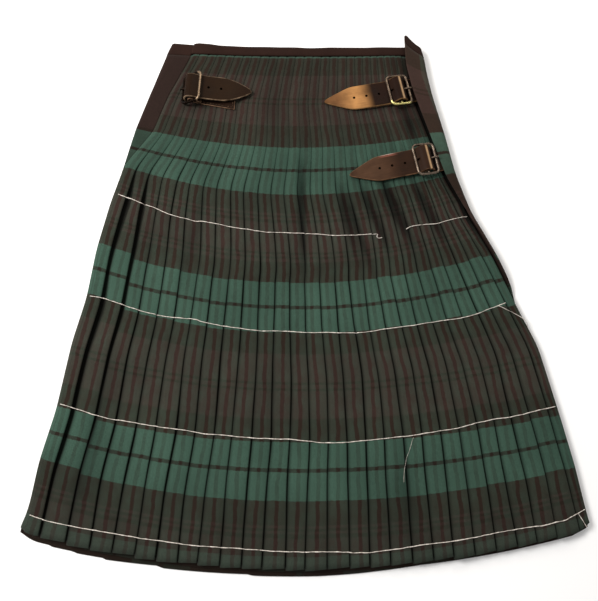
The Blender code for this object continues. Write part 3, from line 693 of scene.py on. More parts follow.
def over_apron_across(wrap, row, side, seam):
    """The over-apron's line (x, z): free edge, right turn, underside, left turn, seam."""
    tall = (FLAP_Z - OVER_APRON_Z) / 2
    bend = wrap["right"] - FLAP_TURN
    angle = float(np.clip(wrap["edge_angle"], -89.0, 90.0))
    back = max(bend - wrap["free"], 0.0)
    line = arc(bend, OVER_APRON_Z + tall, FLAP_TURN, tall, np.linspace(angle, -90.0, 15))
    if angle > 87.0 and back > 0.0005:
        line = [(bend - back * share - 1e-5, FLAP_Z + wrap["curl"] * share**1.5)
                for share in np.linspace(1.0, 0.0, 9)[:-1]] + line
    right = evenly(np.array(line + [(bend - 0.012, OVER_APRON_Z)]), 30)
    half = (PLEAT_LOW_Z - OVER_APRON_Z) / 2
    centre = side + SIDE_TURN
    flat = [(x, OVER_APRON_Z) for x in np.linspace(right[-1, 0], centre, 151)[1:]]
    turn = arc(centre, OVER_APRON_Z + half, -SIDE_TURN, half,
               np.linspace(-90.0, min(seam, 90.0), 12))
    end = max(row["left"] - centre, 0.0001) if seam > SEAM_ON_TOP else 0.0001
    turn += [(turn[-1][0] + end * s, turn[-1][1]) for s in (0.25, 0.5, 0.75, 1.0)]
    return np.concatenate([right, flat, evenly(np.array(turn), 18)[1:]])


def cut_corner(far, reach, deep):
    """How far a rounded top corner lies below a square one, from far 0 at the side to reach."""
    near = np.clip(1.0 - far / reach, 0.0, 1.0)
    return deep * (1.0 - np.sqrt(1.0 - near**2))


def over_apron_grid(at_drops):
    """The over-apron's middle points on these rows, with its threads and its painted light and
    shade.
    """
    rows, wraps = steps_between(ROWS, at_drops), steps_between(WRAPS, at_drops)
    sides = left_side(at_drops, rows)
    made = []
    for i, drop in enumerate(at_drops):
        row, wrap = one_row(rows, i), one_row(wraps, i)
        line = over_apron_across(wrap, row, sides[i], seam_angle(row, sides[i], drop))
        x, z = line[:, 0], line[:, 1].copy()
        side = wrap["right"] - FLAP_TURN
        up = ramp(z, OVER_APRON_Z, FLAP_Z - OVER_APRON_Z) * (x > 0)
        y = up_the_kilt(row, np.where(up > 0.5, np.minimum(x, side), x))
        y = y + up * wrap["climb"] * (side - x)
        from_corner = np.where(up > 0.9, x - x[0], 1.0)
        y = y - cut_corner(from_corner, 0.0045, 0.0040) * max(0.0, 1.0 - drop / 0.006)
        y = y - cut_corner(x - sides[i], 0.0045, 0.0035) * max(0.0, 1.0 - drop / 0.008)
        y = y + corner_lift(x, drop)
        far = distances(line)
        from_seam = far[-1] - far
        warp = np.where(far < far[-1] * 0.5, WARP_AT_FREE_EDGE - far, WARP_AT_SEAM + from_seam)
        z = z + np.where(up > 0.9, 0.0005, 0.0) * rippled(x, y, 30.0, 22.0, 6.0)
        # Painted shade on the sliver where the flap turns over its edge, from partway down, and on
        # the hem
        on_edge = (x > 0) & (z < FLAP_Z - 0.002) & (z > 0.0015)
        edge_shade = np.interp(drop, (0.200, 0.250, 0.34, 0.40), (0.0, 0.45, 0.55, 0.4))
        hem_shade = np.interp(drop, (0.595, 0.603), (0.0, 0.35))
        # Painted shade on the left strip that turns up to the seam
        strip_shade = np.where((x < 0) & (z > 0.003), 0.42, 0.0)
        # Painted light on the flap's top near the waist: a mark below zero lightens the cloth
        painted_flap_light = np.interp(drop, (0.130, 0.200), (-0.40, 0.0))
        strip_shade = np.where(up > 0.9, painted_flap_light, strip_shade)
        weft = np.full(len(x), HEM_INSIDE if drop > 0.599 else check_place(max(drop, 0.0180)))
        weft[on_edge & (0.225 < drop < 0.340)] = IN_BROWN
        weft[(x < 0) & (z > 0.003) & (drop < 0.132)] = IN_BROWN
        deep = np.where(on_edge, edge_shade, strip_shade)
        if hem_shade > 0.0:
            deep = np.maximum(deep, hem_shade)
        made.append((np.stack([x + corner_flare(x, drop), y, z], axis=1), warp, weft, deep))
    return gathered(made)


# How far the layers under the pleats reach past them at the hem, step by step, in metres
HEM_STEPS = [(-0.300, 0.0020), (-0.254, 0.0026), (-0.252, 0.0036), (-0.230, 0.0032),
             (-0.228, 0.0044), (-0.199, 0.0036), (-0.197, 0.0048), (-0.142, 0.0024),
             (-0.140, 0.0042), (-0.050, 0.0026), (-0.048, 0.0038), (0.020, 0.0034),
             (0.060, 0.0022), (0.120, -0.0004), (0.170, -0.0034), (0.300, -0.0036)]


def past_the_hem(middle, at_drops):
    """Lets the cloth hang past the pleats' hem by uneven steps."""
    past = between(HEM_STEPS, middle[..., 0], 1)
    middle[..., 1] -= past * ramp(at_drops[:, None], 0.600, 0.0094)
    return middle


apron_drops = np.linspace(BAND_DROP + UNDER_BAND, 0.6094, 118)
grid, us, vs, painted_shading = over_apron_grid(apron_drops)
grid = past_the_hem(grid, apron_drops)
over_mesh = shell("over_apron_cloth", grid, APRON_THICK, (us, vs, painted_shading))
over_apron_cloth = piece(over_mesh, tartan_wool)
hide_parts("over_apron")


def under_apron_grid(at_drops):
    """The under-apron's middle points on these rows, from its seam at the right to its edge."""
    rows = steps_between(ROWS, at_drops)
    half = (PLAIN_Z - UNDER_APRON_Z) / 2
    made = []
    for i, drop in enumerate(at_drops):
        row = one_row(rows, i)
        centre = row["turn"] - SIDE_TURN
        line = arc(centre, UNDER_APRON_Z + half, SIDE_TURN, half, (-48.0, -60.0, -75.0, -90.0))
        left = row["left"] + 0.010
        line += [(centre + (left - centre) * s, UNDER_APRON_Z) for s in np.linspace(0, 1, 40)[1:]]
        line = np.array(line)
        x = line[:, 0]
        y = up_the_kilt(row, x) + corner_lift(x, drop)
        weft = np.full(len(x), HEM_INSIDE if drop > 0.590 else check_place(drop))
        made.append((np.stack([x + corner_flare(x, drop), y, line[:, 1]], axis=1),
                     WARP_AT_SEAM + distances(line), weft))
    return gathered(made)


under_drops = np.linspace(BAND_DROP + UNDER_BAND, 0.6086, 70)
grid, us, vs = under_apron_grid(under_drops)
# Painted shade on the under-apron, which lies beneath the other layers, deeper at the hem
shade = np.tile(np.interp(under_drops, (0.595, 0.603), (0.2, 0.4))[:, None], (1, us.shape[1]))
under_mesh = shell("under_apron_cloth", grid, APRON_THICK, (us, vs, shade))
under_apron_cloth = piece(under_mesh, tartan_wool)
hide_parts("under_apron")


# The waistband. A straight strip of dark brown wool, cut on the straight grain, folded over the
# top edges and felled down. One length binds the back and one binds each apron.
BAND_THICK = 0.0013


def binding_wool(name):
    """The plain dark brown binding."""
    made, tree, shader = wool(name, roughness=0.8)
    place = object_place(tree)
    worn = speckle(tree, place, 30.0, 3.0, 0.82, 1.2)
    fibre = speckle(tree, place, 1100.0, 2.0, 0.85, 1.15)
    brown = blended(tree, 1.0, linear(38, 23, 18), times(tree, worn, fibre), "MULTIPLY")
    weave = node(tree, "ShaderNodeTexWave", {"Vector": place, "Scale": 380.0, "Distortion": 1.0},
                 bands_direction="DIAGONAL")
    finish(tree, shader, brown, weave.outputs["Fac"], 0.3, 0.0002)
    return made


band_wool = binding_wool("waist_binding_wool")


def flat_marks(grid):
    """Threads of a plain strip: its own two distances."""
    rows, across = grid.shape[:2]
    u = np.tile(np.linspace(0.0, 0.3, across), (rows, 1))
    v = np.tile(np.linspace(0.0, BAND_DROP, rows)[:, None], (1, across))
    return u, v, np.zeros((rows, across))


band_drops = np.linspace(0.0, BAND_DROP - UNDER_BAND, 7)
grid, _, _, _ = over_apron_grid(band_drops)
over_band = piece(shell("over_apron_waistband", grid, BAND_THICK, flat_marks(grid)), band_wool)
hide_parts("waistband_apron")

grid, _, _ = under_apron_grid(band_drops)
under_band = piece(shell("under_apron_waistband", grid, BAND_THICK, flat_marks(grid)), band_wool)
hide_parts("waistband_under")

top_row = one_row(steps_between(ROWS, np.array([0.0])), 0)
foot_row = one_row(steps_between(ROWS, np.array([BAND_DROP])), 0)
strips = []
for x in np.linspace(top_row["left"] + 0.0003, top_row["right"] + 0.0060, 90):
    lean = (foot_row["left"] - top_row["left"]) * max(0.0, x / top_row["left"])
    y_top = up_the_kilt(top_row, np.array([x]))[0] + 0.0006 * wandering(x * 25.0, 0.3, 7.0)
    y_top += np.interp(x, (-0.131, -0.126, -0.114, -0.100), (0.0002, 0.0020, 0.0016, 0.0))
    y_foot = up_the_kilt(foot_row, np.array([x]))[0] + 0.0008
    z = PLEAT_TOP_Z + 0.0004 + 0.0005 * wandering(x * 40.0, 0.8, 7.0)
    strip = [(x + lean, y_foot, z - 0.0005), (x + lean * 0.8, y_foot + 0.0012, z + 0.0004)]
    for share in (0.3, 0.5, 0.7):
        strip.append((x + lean * (1 - share), y_foot + (y_top - y_foot) * share, z + 0.0005))
    strip += [(x, y_top - 0.0022, z + 0.0002), (x, y_top - 0.0011, z - 0.0008),
              (x, y_top - 0.0007, z - 0.0025), (x, y_top - 0.0009, 0.0068),
              (x, y_top - 0.0009, 0.0052)]
    strips.append(strip)
grid = np.array(strips)[::-1]
back_band = piece(shell("back_waistband", grid, BAND_THICK, flat_marks(grid)), band_wool)
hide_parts("waistband_back")


# The straps. Three of dark brown leather, cut with a pointed end, punched for the prong and
# polished on the edges. Each comes from under its buckle, over the bar and down to the cloth.

# The height of the cloth, the leather's thickness, a strap's width, the radius of a hole, the
# width of the prong's slot, and the tilt in degrees from which a buckle counts as tipped
CLOTH_TOP_Z = PLEAT_TOP_Z + 0.0009
LEATHER = 0.0024
STRAP_WIDTH = 0.0315
HOLE = 0.0016
PRONG_SLOT = 0.0032
TIPPED_FROM = 15.0

# Where each buckle's bar lies, which way its strap runs and how far it is tipped, in degrees, how
# high the bar is, how far strap and tab bend sideways, and the size of the tab
Buckle = namedtuple("Buckle", "name x y heading tip bar bend tab_bend tab_width tab_length")
BUCKLES = [
    Buckle("right_upper", 0.1210, 0.2620, 11.0, 7.0, 0.0063, 0.0040, 0.000, 0.0290, 0.042),
    Buckle("right_lower", 0.1485, 0.1700, 10.5, 7.0, 0.0063, -0.0020, 0.000, 0.0290, 0.042),
    Buckle("left", -0.1300, 0.2640, 177.5, 30.0, 0.0082, 0.0000, 0.006, 0.0350, 0.053),
]

# The straps' lines, for a buckle that lies flat and for one that stands tipped: how far along,
# how high and how wide, then the punched holes and two corners (along, height) of the prong's slot
Station = namedtuple("Station", "along height width")
FLAT_STRAP = [Station(*row) for row in (
    (0.0240, -0.0003, 1.00), (0.0150, -0.0003, 1.00), (0.0110, -0.0001, 1.00),
    (0.0088, 0.0016, 1.00), (0.0070, 0.0052, 1.00), (0.0046, 0.0094, 1.00),
    (0.0000, 0.0118, 1.00), (-0.0045, 0.0101, 1.00), (-0.0085, 0.0062, 1.00),
    (-0.0125, 0.0042, 1.00), (-0.0180, 0.0036, 1.00), (-0.0380, 0.0034, 1.00),
    (-0.0565, 0.0024, 1.00), (-0.0640, 0.0021, 0.86), (-0.0730, 0.0019, 0.62),
    (-0.0820, 0.0017, 0.38), (-0.0885, 0.0016, 0.19), (-0.0908, 0.0016, 0.07),
)]
TIPPED_STRAP = [Station(*row) for row in (
    (0.0066, 0.0016, 1.00), (0.0076, 0.0060, 1.00), (0.0066, 0.0112, 1.00),
    (0.0040, 0.0134, 1.00), (0.0000, 0.0140, 1.00), (-0.0045, 0.0127, 1.00),
    (-0.0085, 0.0112, 1.00), (-0.0125, 0.0102, 1.00), (-0.0200, 0.0088, 1.00),
    (-0.0300, 0.0074, 1.00), (-0.0410, 0.0062, 0.99), (-0.0530, 0.0050, 0.78),
    (-0.0620, 0.0043, 0.52), (-0.0690, 0.0038, 0.27), (-0.0722, 0.0036, 0.10),
)]
FLAT_HOLES = (-0.0085, -0.0245, -0.0400, -0.0550)
FLAT_SLOT = ((0.0030, 0.0044), (0.0102, 0.0092))
TIPPED_HOLES = (-0.0210, -0.0360)
TIPPED_SLOT = ((0.0050, 0.0032), (0.0100, 0.0078))


def leather_with_wear_and_painted_light(name, brown, bright, rubbed_colour, patches):
    """Dark leather with a grain, cracks across the bends, worn edges, and patches of other browns,
    among them painted sheen, painted highlight and painted shade.
    """
    made, tree, shader = surface(name, {"Specular IOR Level": 0.04})
    place = object_place(tree)
    strip = node(tree, "ShaderNodeUVMap", uv_map="cloth").outputs["UV"]
    on_strip = node(tree, "ShaderNodeSeparateXYZ", {0: strip})
    along, across = on_strip.outputs["X"], on_strip.outputs["Y"]
    blotch = speckle(tree, place, 55.0, 4.0, 0.0, 1.0)
    colour = blended(tree, times(tree, blotch, 0.6), linear(*brown), linear(*bright))
    for start, end, past, patch_colour, strength in patches:
        far = maths(tree, "SUBTRACT", along, (start + end) / 2)
        far = maths(tree, "DIVIDE", far, (end - start) / 2)
        near = maths(tree, "SUBTRACT", 1.0, maths(tree, "MINIMUM", times(tree, far, far), 1.0))
        near = maths(tree, "POWER", near, 1.6)
        near = times(tree, near, maths(tree, "GREATER_THAN", across, past))
        near = times(tree, near, speckle(tree, place, 70.0, 3.0, 0.55 * strength, strength))
        colour = blended(tree, near, colour, linear(*patch_colour))
    edge = node(tree, "ShaderNodeAttribute", attribute_name="deep").outputs["Fac"]
    rubbed = times(tree, edge, speckle(tree, place, 150.0, 3.0, 0.1, 0.9))
    colour = blended(tree, rubbed, colour, linear(*rubbed_colour))
    grain = node(tree, "ShaderNodeTexVoronoi", {"Vector": place, "Scale": 900.0})
    stretched = node(tree, "ShaderNodeMapping", {"Vector": strip, "Scale": (60.0, 900.0, 1.0)})
    cracks = speckle(tree, stretched.outputs[0], 1.0, 4.0, 0.0, 1.0)
    dark = maths(tree, "SUBTRACT", 1.0, times(tree, cracks, 0.22))
    rough = maths(tree, "ADD", 0.40, times(tree, blotch, 0.18))
    tree.links.new(rough, shader.inputs["Roughness"])
    height = maths(tree, "ADD", grain.outputs["Distance"], times(tree, cracks, 0.8))
    finish(tree, shader, blended(tree, 1.0, colour, dark, "MULTIPLY"), height, 0.3, 0.0002)
    return made


def placed_on_cloth(buckle):
    """Where a buckle's own frame lies: X towards the strap's root, Z up from the cloth."""
    spot = Matrix.Translation((buckle.x, buckle.y, CLOTH_TOP_Z))
    return spot @ Matrix.Rotation(math.radians(buckle.heading), 4, "Z")


def rounded(points, steps):
    """The line through the points with its corners cut round."""
    points = np.array(points, float)
    for _ in range(steps):
        cut = np.stack([0.75 * points[:-1] + 0.25 * points[1:],
                        0.25 * points[:-1] + 0.75 * points[1:]], axis=1)
        points = np.concatenate([points[:1], cut.reshape(-1, points.shape[1]), points[-1:]])
    return points


def leather_strip(name, line, thick, place):
    """A strip along (along, sideways, height, half width), with rounded edges."""
    corner = thick * 0.42
    edge = []
    for a in np.radians(np.linspace(90.0, -90.0, 7)):
        straight = math.copysign(thick / 2 - corner, math.sin(a)) * (abs(math.sin(a)) > 0.01)
        edge.append((corner * (math.cos(a) - 1.0), straight + corner * math.sin(a)))
    shares = (0.75, 0.4, 0.0, -0.4, -0.75)
    profile = [(1.0, inset, high) for inset, high in edge]
    profile += [(share, 0.0, -thick / 2) for share in shares]
    profile += [(-1.0, inset, high) for inset, high in reversed(edge)]
    profile += [(-share, 0.0, thick / 2) for share in shares]
    run, climb, far = np.gradient(line[:, 0]), np.gradient(line[:, 2]), distances(line[:, :3])
    points, uv, rubbed = [], [], []
    for n, (x, y, z, half) in enumerate(line):
        up = np.array([-climb[n], 0.0, run[n]]) / math.hypot(run[n], climb[n])
        for side, inset, high in profile:
            across = side * (half + inset)
            points.append(np.array([x, y + across, z]) + up * high)
            uv.append((far[n], across))
            rubbed.append(abs(side) == 1.0 and abs(high) < thick * 0.47)
    count, around = len(line), len(profile)
    faces = [(a, b, b + around, a + around) for n in range(count - 1)
             for a, b in ((n * around + k, n * around + (k + 1) % around) for k in range(around))]
    faces.append(tuple(range(around)))
    faces.append(tuple(range((count - 1) * around, count * around))[::-1])
    rubbed = np.array(rubbed, float)
    rubbed[:around] = 1.0
    rubbed[-around:] = 1.0
    return marked_mesh(name, points, faces, np.array(uv), rubbed, to_kilt @ place)


def made_plain(name, thing, *helpers):
    """The mesh that an object's modifiers make. The object and its helpers are removed."""
    graph = bpy.context.evaluated_depsgraph_get()
    mesh = bpy.data.meshes.new_from_object(thing.evaluated_get(graph))
    for helper in (thing, *helpers):
        bpy.data.objects.remove(helper, do_unlink=True)
    mesh.name = name
    return mesh


def smoothed(mesh, sharp):
    """The mesh, shaded smooth but for edges that turn by more than this many degrees."""
    mesh.shade_smooth()
    mesh.set_sharp_from_angle(angle=math.radians(sharp))
    return mesh


def punched(mesh, punches):
    """The mesh with these closed shapes cut out of it."""
    name = mesh.name
    mesh.name = "uncut"
    thing = in_scene(name, mesh)
    helpers = [in_scene("punch", punch) for punch in punches]
    for helper in helpers:
        cutting = thing.modifiers.new("cut", "BOOLEAN")
        cutting.object = helper
        cutting.solver = "EXACT"
    return smoothed(made_plain(name, thing, *helpers), 50)


def punch_mesh(place, size, sides):
    """A round punch with this many sides, or a square one, of a size (x, y, z)."""
    mesh = bpy.data.meshes.new("punch")
    form = bmesh.new()
    if sides:
        bmesh.ops.create_cone(form, cap_ends=True, segments=sides, radius1=0.5, radius2=0.5,
                              depth=1.0)
    else:
        bmesh.ops.create_cube(form, size=1.0)
    bmesh.ops.scale(form, vec=size, verts=form.verts)
    form.to_mesh(mesh)
    form.free()
    mesh.transform(to_kilt @ place)
    return mesh


# Each strap's browns, and its patches: from and to along it, past this line across it, the
# colour and how much. One is painted shade in the hollow inside the frame, and one a painted
# highlight along the ridge where the strap bends over the bar.
ALL = -1.0
PAINTED_HOLLOW_SHADE = (0.0040, 0.0290, ALL, (16, 10, 7), 1.0)
PAINTED_RIDGE_HIGHLIGHT = (0.0252, 0.0290, ALL, (196, 160, 120), 1.0)
STRAP_LEATHERS = {
    # The upper strap's two broad patches on its tail are a painted sheen
    "right_upper": leather_with_wear_and_painted_light("upper_strap_leather", (27, 15, 9), (42, 25, 17), (140, 106, 70),
                                [(0.0645, 0.150, ALL, (128, 88, 54), 0.9),
                                 (0.0625, 0.107, ALL, (184, 132, 80), 1.0), PAINTED_HOLLOW_SHADE, PAINTED_RIDGE_HIGHLIGHT]),
    "right_lower": leather_with_wear_and_painted_light("lower_strap_leather", (38, 24, 16), (54, 35, 24), (124, 92, 68),
                                [(0.060, 0.135, ALL, (88, 63, 46), 0.8), PAINTED_HOLLOW_SHADE, PAINTED_RIDGE_HIGHLIGHT,
                                 (0.060, 0.088, 0.0124, (138, 82, 68), 0.7),
                                 (0.062, 0.086, 0.0148, (205, 190, 180), 1.0)]),
    "left": leather_with_wear_and_painted_light("left_strap_leather", (29, 18, 10), (41, 26, 15), (164, 138, 112),
                         [(0.030, 0.085, ALL, (44, 30, 18), 0.6)]),
}
for buckle in BUCKLES:
    stations, holes, slot = FLAT_STRAP, FLAT_HOLES, FLAT_SLOT
    if buckle.tip > TIPPED_FROM:
        stations, holes, slot = TIPPED_STRAP, TIPPED_HOLES, TIPPED_SLOT
    tail = stations[-1].along
    line = [(s.along, buckle.bend * (min(s.along, 0.0) / tail) ** 2, s.height,
             s.width * STRAP_WIDTH / 2) for s in stations]
    place = placed_on_cloth(buckle)
    mesh = leather_strip(f"{buckle.name}_strap_leather", evenly(rounded(line, 2), 90), LEATHER,
                         place)
    punches = []
    for along in holes:
        spot = place @ Matrix.Translation((along, buckle.bend * (along / tail) ** 2, 0.006))
        punches.append(punch_mesh(spot, (2 * HOLE, 2 * HOLE, 0.02), 20))
    low, high = slot
    spot = place @ Matrix.Translation(((low[0] + high[0]) / 2, 0.0, (low[1] + high[1]) / 2))
    punches.append(punch_mesh(spot, (high[0] - low[0], PRONG_SLOT, high[1] - low[1]), 0))
    strap = piece(punched(mesh, punches), STRAP_LEATHERS[buckle.name])
    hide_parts(f"strap_{buckle.name}")


# The tabs. A short piece of thinner leather holds each buckle: it folds round the bar, with a
# slot for the prong, and is stitched to the pleats on both layers.

# The tab's thickness, the radius of the buckle's wire and of the room round it, and where along a
# tab its sideways bend starts
TAB = 0.0018
WIRE = 0.0015
ROUND_WIRE = WIRE + 0.0003
TAB_BENDS_FROM = -0.0120


def tab_sideways(buckle, x):
    """How far sideways a tab's middle lies at x, where the tab bends beyond its bar."""
    far = max(TAB_BENDS_FROM - x, 0.0) / (buckle.tab_length + TAB_BENDS_FROM)
    return far * buckle.tab_bend


tab_leather = leather_with_wear_and_painted_light("tab_leather", (26, 15, 9), (38, 23, 15), (140, 110, 86),
                           [(0.0, 0.02, ALL, (42, 28, 19), 0.3)])
for buckle in BUCKLES:
    loop = ROUND_WIRE + TAB / 2
    flat, bar = TAB / 2, buckle.bar
    over = flat + TAB + 0.0006
    end = -0.0090 - (bar - 0.0063) * 1.6
    line = [(-buckle.tab_length, flat), (-0.0240, flat), (TAB_BENDS_FROM, flat),
            (-0.0050, flat + (bar - loop - flat) * 0.55)]
    line += arc(0.0, bar, loop, loop, (-90.0, -60.0, -30.0, 0.0, 30.0, 60.0, 90.0))
    line += [(0.33 * end, over + (bar + loop - over) * 0.80),
             (0.72 * end, over + (bar + loop - over) * 0.30), (end, over)]
    stations = [(x, tab_sideways(buckle, x), z, buckle.tab_width / 2) for x, z in line]
    place = placed_on_cloth(buckle)
    mesh = leather_strip(f"{buckle.name}_buckle_tab", evenly(np.array(stations), 80), TAB, place)
    spot = place @ Matrix.Translation((0.0, 0.0, bar))
    mesh = punched(mesh, [punch_mesh(spot, (0.0104, PRONG_SLOT + 0.0006, 0.0092), 0)])
    tab = piece(mesh, tab_leather)
    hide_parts(f"chape_{buckle.name}")


# The buckles. Each is a rounded frame of cast metal with a bar across its middle and a wire prong
# that turns on the bar. Antique bronze in mottled patches, with a painted highlight along the
# sides of the wire, and the left frame painted in shade but for its inner side.

# The frame's size and the radius of its corners, the radius of the prong and how far it reaches
FRAME_WIDE = 0.0250
FRAME_TALL = 0.0380
FRAME_CORNER = 0.0050
PRONG_WIRE = 0.00095
PRONG_REACH = 0.0150


def antique_metal(name, dark, bright, painted_lit_from=None, golden_below=None):
    """Dull bronze: mottled, with painted highlights on the wire's sides, painted in shade up to a
    place along X if given and lit beyond it, and golden below a place in Y if given.
    """
    made, tree, shader = surface(name, {"Metallic": 1.0})
    place = object_place(tree)
    outward = node(tree, "ShaderNodeTexCoord").outputs["Normal"]
    up = node(tree, "ShaderNodeSeparateXYZ", {0: outward}).outputs["Z"]
    along = node(tree, "ShaderNodeSeparateXYZ", {0: place}).outputs
    mottle_and_highlight = speckle(tree, place, 160.0, 4.0, 0.2, 1.0)
    # Painted highlight: the wire's sides, which face less upwards, are painted brighter than its
    # top
    mottle_and_highlight = times(tree, spread(tree, up, 0.70, 0.35, 0.30, 1.2), mottle_and_highlight)
    if painted_lit_from is not None:
        # The frame is painted in shade up to this place along X, and lit beyond it
        rubbed = spread(tree, along["X"], painted_lit_from - 0.001, painted_lit_from + 0.001)
        mottle_and_highlight = times(tree, rubbed, maths(tree, "ADD", 0.45, mottle_and_highlight))
    bronze = blended(tree, mottle_and_highlight, linear(*dark), linear(*bright))
    if golden_below is not None:
        golden = spread(tree, along["Y"], golden_below + 0.001, golden_below - 0.001)
        bronze = blended(tree, golden, bronze, linear(206, 196, 128))
    tree.links.new(speckle(tree, place, 220.0, 3.0, 0.28, 0.48), shader.inputs["Roughness"])
    finish(tree, shader, bronze, mottle_and_highlight, 0.2, 0.0002)
    return made


def line_tree(name, sizes):
    """A node tree that starts from a line, with a material and these inputs of these kinds."""
    tree = bpy.data.node_groups.new(name, "GeometryNodeTree")
    for label, kind in {"Geometry": "Geometry", "Material": "Material", **sizes}.items():
        tree.interface.new_socket(label, in_out="INPUT", socket_type=f"NodeSocket{kind}")
    tree.interface.new_socket("Geometry", in_out="OUTPUT", socket_type="NodeSocketGeometry")
    start = tree.nodes.new("NodeGroupInput").outputs
    path = node(tree, "GeometryNodeMeshToCurve", {"Mesh": start["Geometry"]}).outputs[0]
    return tree, start, path


def coated(tree, start, geometry):
    """The tree, ended with this geometry made real and given the tree's material."""
    real = node(tree, "GeometryNodeRealizeInstances", {"Geometry": geometry})
    done = node(tree, "GeometryNodeSetMaterial", {"Geometry": real.outputs[0],
                "Material": start["Material"]})
    tree.links.new(done.outputs[0], tree.nodes.new("NodeGroupOutput").inputs[0])
    return tree


def tube(tree, path, radius, sides, scale=1.0):
    """A round tube along a path."""
    ring = node(tree, "GeometryNodeCurvePrimitiveCircle", {"Resolution": sides, "Radius": radius})
    made = node(tree, "GeometryNodeCurveToMesh", {"Curve": path, "Profile Curve": ring.outputs[0],
                "Fill Caps": True, "Scale": scale})
    return made.outputs[0]


def wire_tree():
    """A round wire along a line: its radius, and how finely it is divided."""
    tree, start, path = line_tree("wire", {"Radius": "Float", "Step": "Float", "Sides": "Int"})
    path = node(tree, "GeometryNodeResampleCurve", {"Curve": path, "Length": start["Step"]},
                mode="LENGTH")
    return coated(tree, start, tube(tree, path.outputs[0], start["Radius"], start["Sides"]))


def grown(name, base, tree, **sizes):
    """The plain mesh that a node tree makes from a base mesh."""
    helper = in_scene(name, base)
    growth = helper.modifiers.new("growth", "NODES")
    growth.node_group = tree
    for item in tree.interface.items_tree:
        if item.in_out == "INPUT" and item.name.lower() in sizes:
            growth[item.identifier] = sizes[item.name.lower()]
    return made_plain(name, helper)


def lines_of(paths, closed=False):
    """A mesh of separate lines of edges, one through each path's points."""
    points, edges = [], []
    for path in paths:
        first = len(points)
        points += [tuple(point) for point in path]
        edges += [(n, n + 1) for n in range(first, len(points) - 1)]
        if closed:
            edges.append((len(points) - 1, first))
    mesh = bpy.data.meshes.new("lines")
    mesh.from_pydata(points, edges, [])
    return mesh


METALS = {
    "right_upper": antique_metal("upper_buckle_metal", (54, 44, 36), (190, 168, 146), None, 0.2186),
    "right_lower": antique_metal("lower_buckle_metal", (60, 49, 41), (206, 186, 166)),
    "left": antique_metal("left_buckle_metal", (28, 20, 15), (164, 140, 114), -0.1300),
}
wire = wire_tree()
for buckle in BUCKLES:
    x, y, r = FRAME_WIDE / 2, FRAME_TALL / 2, FRAME_CORNER
    outline = []
    for quarter, (side, top) in enumerate(((1, 1), (-1, 1), (-1, -1), (1, -1))):
        corner = arc(side * (x - r), top * (y - r), r, r,
                     [90.0 * quarter + 15.0 * step for step in range(7)])
        outline += [(across, along, 0.0) for across, along in corner]
    tip = math.radians(buckle.tip)
    on_cloth = to_kilt @ placed_on_cloth(buckle)
    metal = METALS[buckle.name]
    ring = grown("ring", lines_of([outline], closed=True), wire, radius=WIRE, step=0.0007, sides=16,
                 material=metal)
    bar = grown("bar", lines_of([[(0.0, -y, 0.0), (0.0, y, 0.0)]]), wire, radius=WIRE * 0.9,
                step=0.002, sides=12, material=metal)
    form = bmesh.new()
    form.from_mesh(ring)
    form.from_mesh(bar)
    both = bpy.data.meshes.new(f"{buckle.name}_buckle")
    form.to_mesh(both)
    form.free()
    tilt = Matrix.Rotation(tip, 4, "Y")
    both.transform(on_cloth @ Matrix.Translation((0.0, 0.0, buckle.bar)) @ tilt)
    frame_piece = piece(smoothed(both, 60), metal)
    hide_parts(f"buckle_frame_{buckle.name}")

    ring_radius = ROUND_WIRE + PRONG_WIRE
    last = -10.0 if buckle.tip < TIPPED_FROM else -30.0
    path = arc(0.0, buckle.bar, ring_radius, ring_radius,
               (-210.0, -170.0, -130.0, -90.0, -50.0, last))
    rest_x = x * math.cos(tip) + ring_radius * math.sin(tip)
    rest_z = buckle.bar - x * math.sin(tip) + ring_radius * math.cos(tip)
    from_x, from_z = path[-1]
    path.append((from_x + 0.55 * (rest_x - from_x), from_z + 0.75 * (rest_z - from_z)))
    path.append((rest_x, rest_z))
    reach = PRONG_REACH - x
    path.append((rest_x + reach * math.cos(tip), rest_z - reach * math.sin(tip) - 0.0003))
    path = rounded([(along, 0.0, high) for along, high in path], 2)
    pin = grown(f"{buckle.name}_prong", lines_of([path]), wire, radius=PRONG_WIRE, step=0.0005,
                sides=12, material=metal)
    pin.transform(on_cloth)
    prong = piece(smoothed(pin, 60))
    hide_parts(f"prong_{buckle.name}")


# The basting. Four rows of white cotton tacking thread run across the pleats and hold them shut
# until the kilt is pressed. They are sewn by hand, with loose ends and small knots.

# The radius of the thread, how long a stitch is before it dips, and the rows as points (x, y) in
# millimetres
THREAD = 0.00035
STITCH = 0.026
BASTING_ROWS = {
    "first": [(-211, 128), (-186, 118), (-163, 109), (-146, 101), (-109, 93), (-70, 86), (-41, 80),
              (-19, 80), (13, 79), (52, 77), (83, 79)],
    "first_hook": [(84, 78), (91, 79), (88, 76), (90, 73), (95, 74)],
    "first_end": [(123, 84), (129, 88), (158, 91), (171, 96), (194, 101)],
    "second": [(-233, 5), (-218, 3), (-184, -9), (-145, -20), (-113, -22), (-107, -25), (-60, -33),
               (-14, -36), (29, -38), (75, -36), (115, -30), (154, -24), (185, -20), (220, -6),
               (229, -3)],
    "second_end": [(220, -6), (249, -20), (254, -29)],
    "third": [(-254, -114), (-210, -129), (-171, -134), (-117, -143), (-76, -148), (-2, -152),
              (34, -155), (78, -151), (104, -148), (139, -144), (167, -140), (194, -132),
              (231, -126), (273, -116)],
    "fourth": [(-274, -226), (-245, -235), (-198, -242), (-171, -247), (-128, -252), (-101, -256),
               (-65, -258), (-2, -261), (33, -261), (61, -263), (104, -258), (133, -254),
               (173, -249), (202, -243), (265, -233), (292, -221)],
    "fourth_end": [(285, -225), (292, -238)],
    "stray": [(120, -149), (117, -157), (110, -176), (108, -194)],
}
